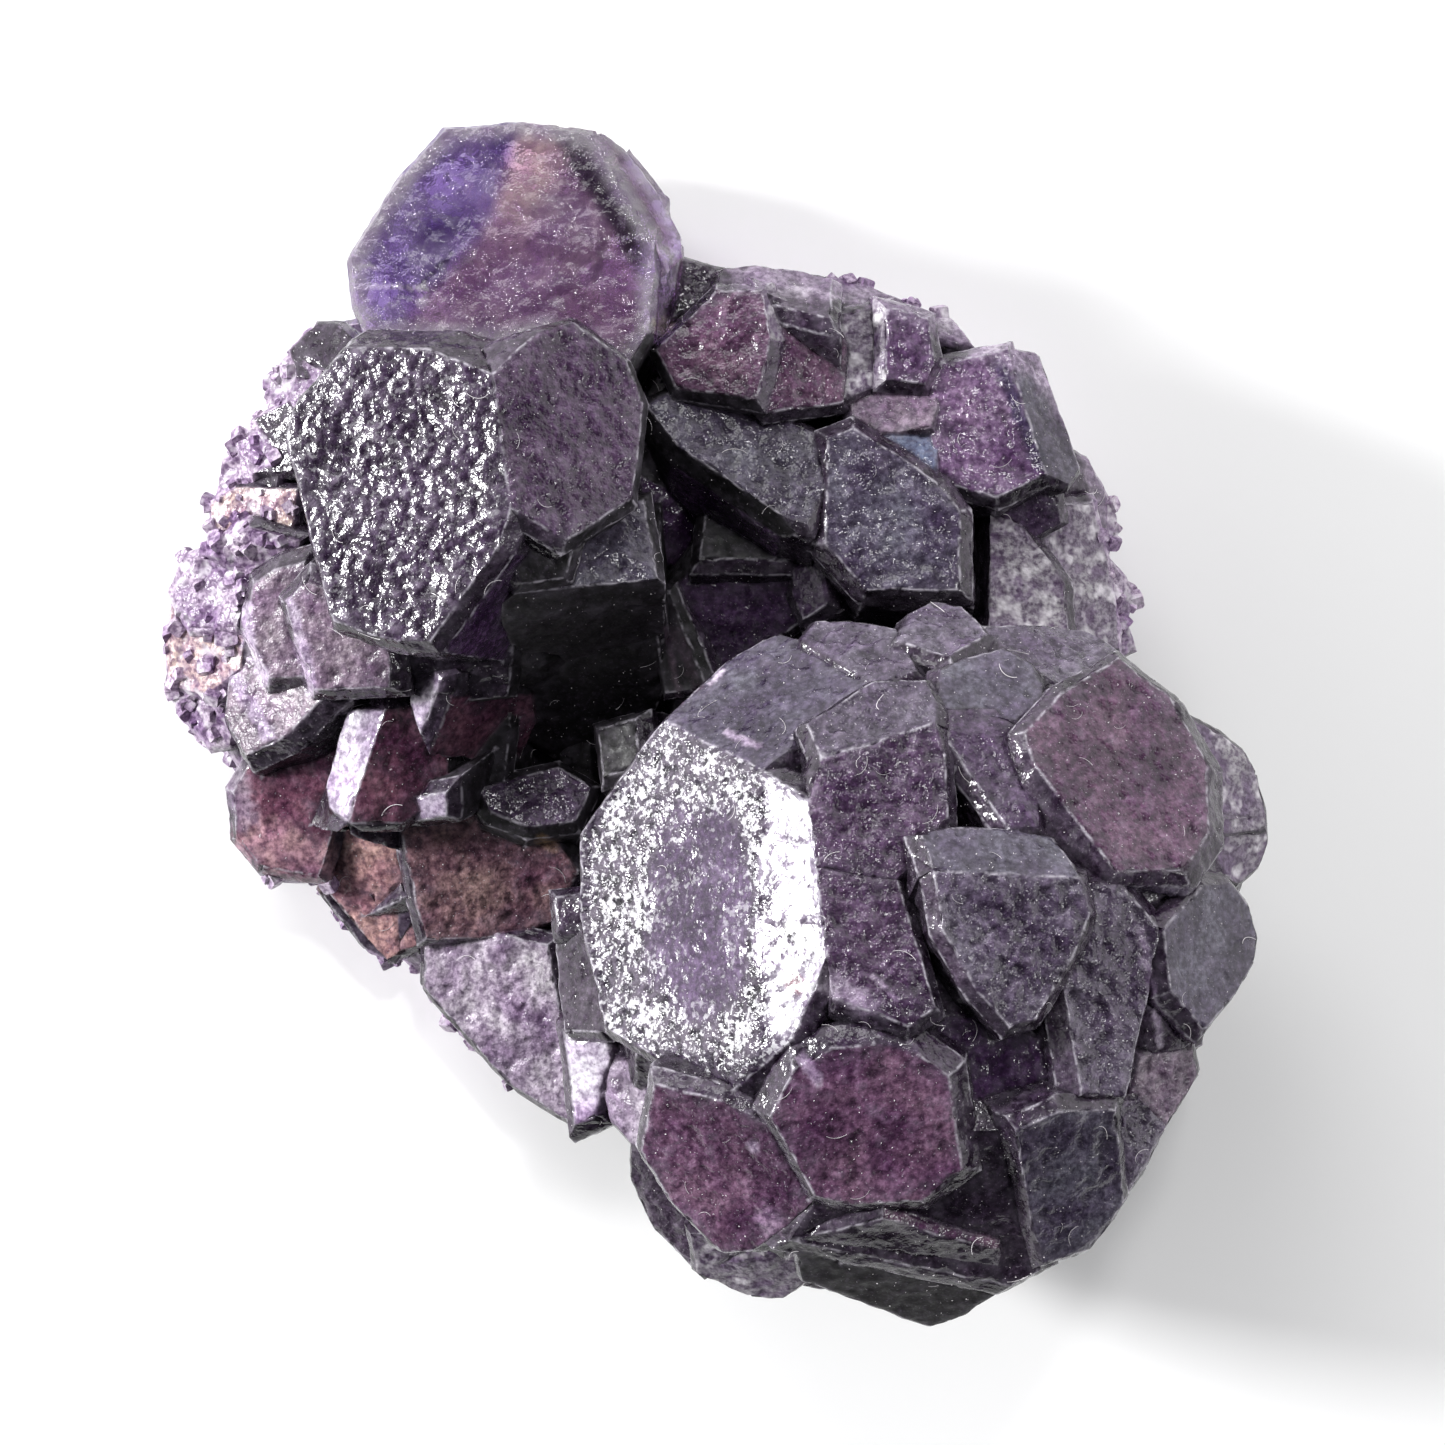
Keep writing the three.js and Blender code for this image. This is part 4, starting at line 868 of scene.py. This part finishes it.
shade = layered(tree, [
    ("MULTIPLY", "#cbb0d4", patches(tree, place, 3.0, 0.3, 0.7)),
    ("MULTIPLY", "#c4bac8", patches(tree, place, 5.0, 0.55, 0.42)),
    ("MULTIPLY", "#9f96a4", patches(tree, place, 0.4, 0.62, 0.38, 5.0)),
    # Painted sheen: pale patches added to the colour.
    ("ADD", "#2e2833", patches(tree, place, 0.4, 0.54, 0.72, 5.0)),
    # Painted shade and highlight: low points of the relief are darkened and raised ones lightened.
    ("MIX", "#0d080f", carried(tree, "raised", 0.5, 0.15), 0.35),
    ("ADD", "#4d4650", carried(tree, "raised", 0.55, 1.0)),
    # Painted reflection: a grey sheen near each edge, broken into patches.
    ("MIX", "#6d6773", carried(tree, "edge_mm", 1.5, 0.0), patches(tree, place, 1.2, 0.4, 0.7), 0.3),
    # Partly real wear and partly a painted highlight: edges that stick out are drawn pale.
    ("MIX", "#a8a3ad", carried(tree, "rubbed_and_highlight", 0.0, 1.0), patches(tree, place, 0.7, 0.42, 0.60), 0.8),
    ("MIX", "#b4adb9", patches(tree, place, 0.18, 0.64, 0.74), carried(tree, "etch", 0.2, 1.6), 0.5),
    # Painted glints: the white flecks laid over the colour.
    ("MIX", "#f4f3f7", painted_glint_flecks, carried(tree, "painted_glints", 0.0, 0.4), 0.5)])
uneven = {"Value": patches(tree, place, 0.7, 0.3, 0.7), "To Min": 0.75, "To Max": 1.3}
uneven = add(tree, "ShaderNodeMapRange", uneven).outputs[0]
rough = {0: carried(tree, "rough", 0.0, 1.0), 1: uneven}
depth = {0: carried(tree, "etch", 0.0, 4.0), 1: 0.45 * MM}
skin = add(tree, "ShaderNodeBump", {
    "Height": patches(tree, place, 0.55, 0.0, 1.0, 2.0),
    "Distance": add(tree, "ShaderNodeMath", depth, operation="MULTIPLY").outputs[0]})
shader = add(tree, "ShaderNodeBsdfPrincipled", {
    "Base Color": shade, "Roughness": add(tree, "ShaderNodeMath", rough, operation="MULTIPLY").outputs[0],
    "IOR": IOR_OF_FLUORITE, "Normal": skin.outputs[0]})
add(tree, "ShaderNodeOutputMaterial", {"Surface": shader.outputs[0]})

# %% Milky crust fluorite
# Small crystals grown through each other scatter the light, and some of it comes through from
# behind, so the crust looks like frosted sugar: pale, soft and brightest where it is thin.
crust, tree, place = new_material("milky crust fluorite, broken and grown rough")
shade = layered(tree, [
    ("MULTIPLY", "#b29abf", patches(tree, place, 2.0, 0.35, 0.65)),
    ("MULTIPLY", "#9d8ea4", patches(tree, place, 0.3, 0.6, 0.4, 3.0)),
    # Painted shade: low points of the crust are darkened.
    ("MIX", "#6d5677", carried(tree, "raised", 0.5, 0.1), 0.5),
    ("MIX", "#f6f1f7", patches(tree, place, 1.1, 0.52, 0.7), 0.7)])
skin = add(tree, "ShaderNodeBump", {"Height": patches(tree, place, 0.5, 0.0, 1.0, 2.0),
                                    "Strength": 0.8, "Distance": 0.15 * MM})
shader = add(tree, "ShaderNodeBsdfPrincipled", {
    "Base Color": shade, "Roughness": 0.3, "IOR": IOR_OF_FLUORITE,
    "Transmission Weight": 0.25, "Normal": skin.outputs[0]})
add(tree, "ShaderNodeOutputMaterial", {"Surface": shader.outputs[0]})

# %% Clear zoned fluorite
# The crystal is clear enough for light to enter, and the colour sits in bands inside it. Light
# that goes through it is tinted by its skin's bands and, the longer its way, by a violet
# absorption, so it looks lit from within, with a soft shine on faces that are little etched.
clear, tree, place = new_material("clear zoned fluorite, natural faces")
shade = layered(tree, [
    ("MULTIPLY", "#dacce4", patches(tree, place, 1.2, 0.6, 0.4, 7.0)),
    ("MIX", "#e2dce6", patches(tree, place, 1.4, 0.56, 0.75, 8.0), 0.35)])
skin = add(tree, "ShaderNodeBump", {"Height": patches(tree, place, 0.5, 0.0, 1.0, 2.0),
                                    "Strength": 0.8, "Distance": 0.12 * MM})
shader = add(tree, "ShaderNodeBsdfPrincipled", {
    "Base Color": shade, "Roughness": 0.13, "IOR": IOR_OF_FLUORITE,
    "Transmission Weight": 0.75, "Normal": skin.outputs[0]})
inside = add(tree, "ShaderNodeVolumeAbsorption", {"Color": colour("#c4abe0"), "Density": 18.0})
add(tree, "ShaderNodeOutputMaterial", {"Surface": shader.outputs[0], "Volume": inside.outputs[0]})
print([m.name for m in bpy.data.materials])

# %% [markdown]
# ## The pieces
#
# A facet goes to a piece by what it is and where it lies. The top crystal and the crust are parted
# from the rest because they need materials of their own. The dark crystals could be one piece, and
# are three only so that no mesh gets too heavy. All ride on the stone's one body, and together
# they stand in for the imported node.

# %% Make the pieces
PALE = ("crust", "peach", "edge glass")
GROUP_BORDER = [(-3, 30), (-1.5, 10), (-3, 2), (-10, -6), (-8, -20)]
crust_facets = np.isin(finish_of, PALE)
left_side = side_of(facet_seen, GROUP_BORDER) < 0
place_of = np.select([at_top, crust_facets, on_ball, left_side], [0, 1, 2, 3], 4)
PIECES = {"top_crystal": clear, "pale_crust": crust, "ball_crystals": dark,
          "left_crystals": dark, "right_crystals": dark}
for number, (name, material) in enumerate(PIECES.items()):
    piece = add_piece(name, place_of[fine_facet] == number, material)
    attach(piece, "root")
    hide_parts("fluorite_cluster")

# %% [markdown]
# ## Small crystals, dust and lint
#
# The crust is sugared with small crystals, and the dark faces carry dust and a few fibres. These
# repeat by the hundred, so Geometry Nodes scatters them: points are spread over a surface, one
# small shape is set on each point with a chance turn and size, and the result is made real.

# %% A tree that scatters a shape over a surface
FULL_TURN = 2 * math.pi


def scatter_tree(name, material, lying):
    """Scatters a shape at any angle, or lying on the surface and turned about its normal."""
    tree = bpy.data.node_groups.new(name, "GeometryNodeTree")
    for label, kind in (("Surface", "NodeSocketGeometry"), ("Shape", "NodeSocketObject"),
                        ("Per square metre", "NodeSocketFloat"), ("Smallest", "NodeSocketFloat"),
                        ("Largest", "NodeSocketFloat"), ("Seed", "NodeSocketInt")):
        tree.interface.new_socket(label, in_out="INPUT", socket_type=kind)
    tree.interface.new_socket("Result", in_out="OUTPUT", socket_type="NodeSocketGeometry")
    given = add(tree, "NodeGroupInput").outputs
    spread = add(tree, "GeometryNodeDistributePointsOnFaces",
                 {"Mesh": given["Surface"], "Density": given["Per square metre"], "Seed": given["Seed"]})
    VECTOR_MIN, VECTOR_MAX, FLOAT_MIN, FLOAT_MAX = 0, 1, 2, 3  # a random value's sockets, by its kind
    low = (0, 0, 0)
    high = (0, 0, FULL_TURN) if lying else (FULL_TURN, FULL_TURN, FULL_TURN)
    turn = add(tree, "FunctionNodeRandomValue", {VECTOR_MIN: low, VECTOR_MAX: high},
               data_type="FLOAT_VECTOR")
    turned = add(tree, "FunctionNodeRotateRotation", {0: spread.outputs["Rotation"], 1: turn.outputs[0]},
                 rotation_space="LOCAL")
    size = add(tree, "FunctionNodeRandomValue", {FLOAT_MIN: given["Smallest"], FLOAT_MAX: given["Largest"]})
    shape = add(tree, "GeometryNodeObjectInfo", {"Object": given["Shape"]})
    placed = add(tree, "GeometryNodeInstanceOnPoints",
                 {"Points": spread.outputs["Points"], "Instance": shape.outputs["Geometry"],
                  "Rotation": turned.outputs[0], "Scale": size.outputs[1]})
    real = add(tree, "GeometryNodeRealizeInstances", {0: placed.outputs[0]})
    painted = add(tree, "GeometryNodeSetMaterial", {"Geometry": real.outputs[0], "Material": material})
    add(tree, "NodeGroupOutput", {0: painted.outputs[0]})
    return tree


def scattered(name, chosen, shape, material, per_mm2, sizes, seed, lying=False):
    """A plain piece of one shape scattered over chosen fine triangles, sizes given in millimetres."""
    host = new_object(name + "_host", mesh_of(name + "_host", chosen)[0])
    tree = scatter_tree(name, material, lying)
    modifier = host.modifiers.new(name, "NODES")
    modifier.node_group = tree
    named = {item.name: item.identifier for item in tree.interface.items_tree if item.in_out == "INPUT"}
    modifier[named["Shape"]] = shape
    modifier[named["Per square metre"]] = per_mm2 / MM ** 2
    modifier[named["Smallest"]] = sizes[0]
    modifier[named["Largest"]] = sizes[1]
    modifier[named["Seed"]] = seed
    bpy.context.view_layer.update()
    mesh = bpy.data.meshes.new_from_object(host.evaluated_get(bpy.context.evaluated_depsgraph_get()))
    bpy.data.objects.remove(host)
    places = np.empty(len(mesh.vertices) * 3, np.float32)
    mesh.vertices.foreach_get("co", places)
    places = np.clip(places.reshape(-1, 3), low_corner * MM, high_corner * MM)
    mesh.vertices.foreach_set("co", places.ravel())
    tone = 1 + 0.25 * grain(places / MM, 2.5, 31)[:, None] * np.array([1, 1, 1, 0])
    body = np.array(colour(FINISHES["crust"]["colour"])) * tone
    mesh.attributes.new("body", "FLOAT_COLOR", "POINT").data.foreach_set("color", body.ravel())
    mesh.attributes.new("raised", "FLOAT", "POINT").data.foreach_set("value", np.full(len(places), 0.5))
    mesh.name = name
    piece = new_object(name, mesh)
    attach(piece, "root")
    print(name, len(mesh.polygons), "faces")


# %% The shapes that are scattered, one millimetre in size
def shape_from(name, places, faces=None):
    """An object to scatter, either with given faces or as the hull of its points."""
    mesh = bpy.data.meshes.new(name)
    mesh.from_pydata([tuple(c * MM for c in place) for place in places], [], faces or [])
    if not faces:
        shell = bmesh.new()
        shell.from_mesh(mesh)
        bmesh.ops.convex_hull(shell, input=shell.verts)
        shell.to_mesh(mesh)
        shell.free()
    return bpy.data.objects.new(name, mesh)


CUT = 0.3  # how much of a cube's half edge its cut corners take
corner_cuts = [tuple((side - 0.5) * (1 - CUT * (k == axis)) for k, side in enumerate(corner))
               for corner in np.ndindex(2, 2, 2) for axis in range(3)]
small_crystal = shape_from("small_crystal", corner_cuts)
speck_corners = [(0.5, 0, 0), (-0.4, 0.3, 0), (-0.3, -0.4, 0.1), (0, 0.1, 0.35), (0.1, -0.1, -0.2)]
speck = shape_from("speck", speck_corners)

FIBRE_STEPS, FIBRE_BEND, FIBRE_RADIUS = 8, 1.5, 0.014  # the bend in radians over a fibre's length
fibre_places, fibre_faces = [], []
for i in range(FIBRE_STEPS + 1):
    angle = FIBRE_BEND * (i / FIBRE_STEPS - 0.5)
    lift = 0.02 + 0.10 * (2 * i / FIBRE_STEPS - 1) ** 2
    middle = (math.sin(angle) / FIBRE_BEND, (math.cos(angle) - 1) / FIBRE_BEND, lift)
    for k in range(3):
        side = FULL_TURN * k / 3
        fibre_places.append((middle[0], middle[1] + FIBRE_RADIUS * math.cos(side),
                             middle[2] + FIBRE_RADIUS * math.sin(side)))
        if i < FIBRE_STEPS:
            here, after = 3 * i + k, 3 * i + (k + 1) % 3
            fibre_faces.append((here, after, after + 3, here + 3))
fibre_faces += [(2, 1, 0), tuple(3 * FIBRE_STEPS + k for k in range(3))]
fibre = shape_from("fibre", fibre_places, fibre_faces)

# %% Scatter them
# Cotton and rock dust are white and dull, and they show as hairs and specks on the dark stone.
lint, tree, _ = new_material("white cotton lint and rock dust")
shader = add(tree, "ShaderNodeBsdfPrincipled", {"Base Color": colour("#cdc8cc"), "Roughness": 0.8})
add(tree, "ShaderNodeOutputMaterial", {"Surface": shader.outputs[0]})
open_front = (facet_normal[fine_facet][:, 2] > 0.35) & np.isin(place_of[fine_facet], (2, 3, 4))
on_crust = (place_of[fine_facet] == 1) & (look["etch"][fine_facet] > 1.5)
scattered("crust_grains", on_crust, small_crystal, crust, 0.4, (0.3, 1.0), 5)
scattered("dust", open_front, speck, lint, 0.6, (0.06, 0.16), 6)
scattered("lint_fibres", open_front, fibre, lint, 0.035, (0.6, 1.7), 8, lying=True)

# %% [markdown]
# ## Floor and light
#
# The background of the photograph is plain white and the light is soft from all sides, with a
# brighter window low on the left. A large lamp behind and two small ones draw the glints on the
# etched faces. The sky is dark overhead, because a real face that looks straight at the camera
# mirrors the dark round it, and on the side of the picture's lower edge, where the ball's faces
# get little light.

# %% Floor
# Past this distance the lamps hardly reach the paper, and it would show as a grey band at the
# horizon of a low view, so it ends there.
FLOOR_WIDTH = 1.6  # metres
bpy.ops.mesh.primitive_plane_add(size=FLOOR_WIDTH, location=(0, 0, 0))
floor = bpy.context.object
floor.name = "floor"
# Uncoated paper is bright and has no shine, so that only a soft shadow shows on it.
paper, tree, _ = new_material("white paper, uncoated")
shader = add(tree, "ShaderNodeBsdfPrincipled", {"Base Color": colour("#f8f8f8"), "Roughness": 0.9})
add(tree, "ShaderNodeOutputMaterial", {"Surface": shader.outputs[0]})
floor.data.materials.append(paper)

# %% World and lamps
world = bpy.data.worlds.new("white studio")
bpy.context.scene.world = world
world.use_nodes = True
tree = world.node_tree
tree.nodes.clear()
direction = add(tree, "ShaderNodeTexCoord").outputs["Generated"]
parts = add(tree, "ShaderNodeSeparateXYZ", {0: direction}).outputs
overhead = {"Value": parts["Z"], "From Min": 0.50, "From Max": 0.80}
overhead = add(tree, "ShaderNodeMapRange", overhead).outputs[0]
lower_side = {"Value": parts["Y"], "From Min": -0.05, "From Max": -0.60}
lower_side = add(tree, "ShaderNodeMapRange", lower_side).outputs[0]
unlit = add(tree, "ShaderNodeMath", {0: overhead, 1: lower_side}, operation="MAXIMUM").outputs[0]
sky = add(tree, "ShaderNodeMix", {0: unlit, FIRST: colour("#ffffff"), SECOND: colour("#303034")},
          data_type="RGBA").outputs[2]
background = add(tree, "ShaderNodeBackground", {"Color": sky, "Strength": 1.9})
add(tree, "ShaderNodeOutputWorld", {"Surface": background.outputs[0]})

AIM = Vector((0, 0, 0.02))


def softbox(name, turn, rise, distance, size, power):
    """A square lamp in a direction given in degrees, turned to the stone."""
    light = bpy.data.lights.new(name, "AREA")
    light.size = size
    light.energy = power
    lamp = new_object(name, light)
    turn, rise = math.radians(turn), math.radians(rise)
    away = Vector((math.cos(turn) * math.cos(rise), math.sin(turn) * math.cos(rise), math.sin(rise)))
    lamp.location = AIM + away * distance
    lamp.rotation_euler = away.to_track_quat("Z", "Y").to_euler()


softbox("window on the left", 168.0, 24.0, 0.8, 0.16, 9.0)
softbox("lamp behind", 112.0, 42.0, 1.0, 0.40, 2.5)
softbox("small lamp above", 75.0, 64.0, 0.8, 0.06, 1.0)
softbox("small lamp on the right", -15.0, 40.0, 0.8, 0.08, 1.0)
bpy.context.scene.view_settings.view_transform = "Standard"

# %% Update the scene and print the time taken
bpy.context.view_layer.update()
print("seconds", round(time.time() - clock, 1))
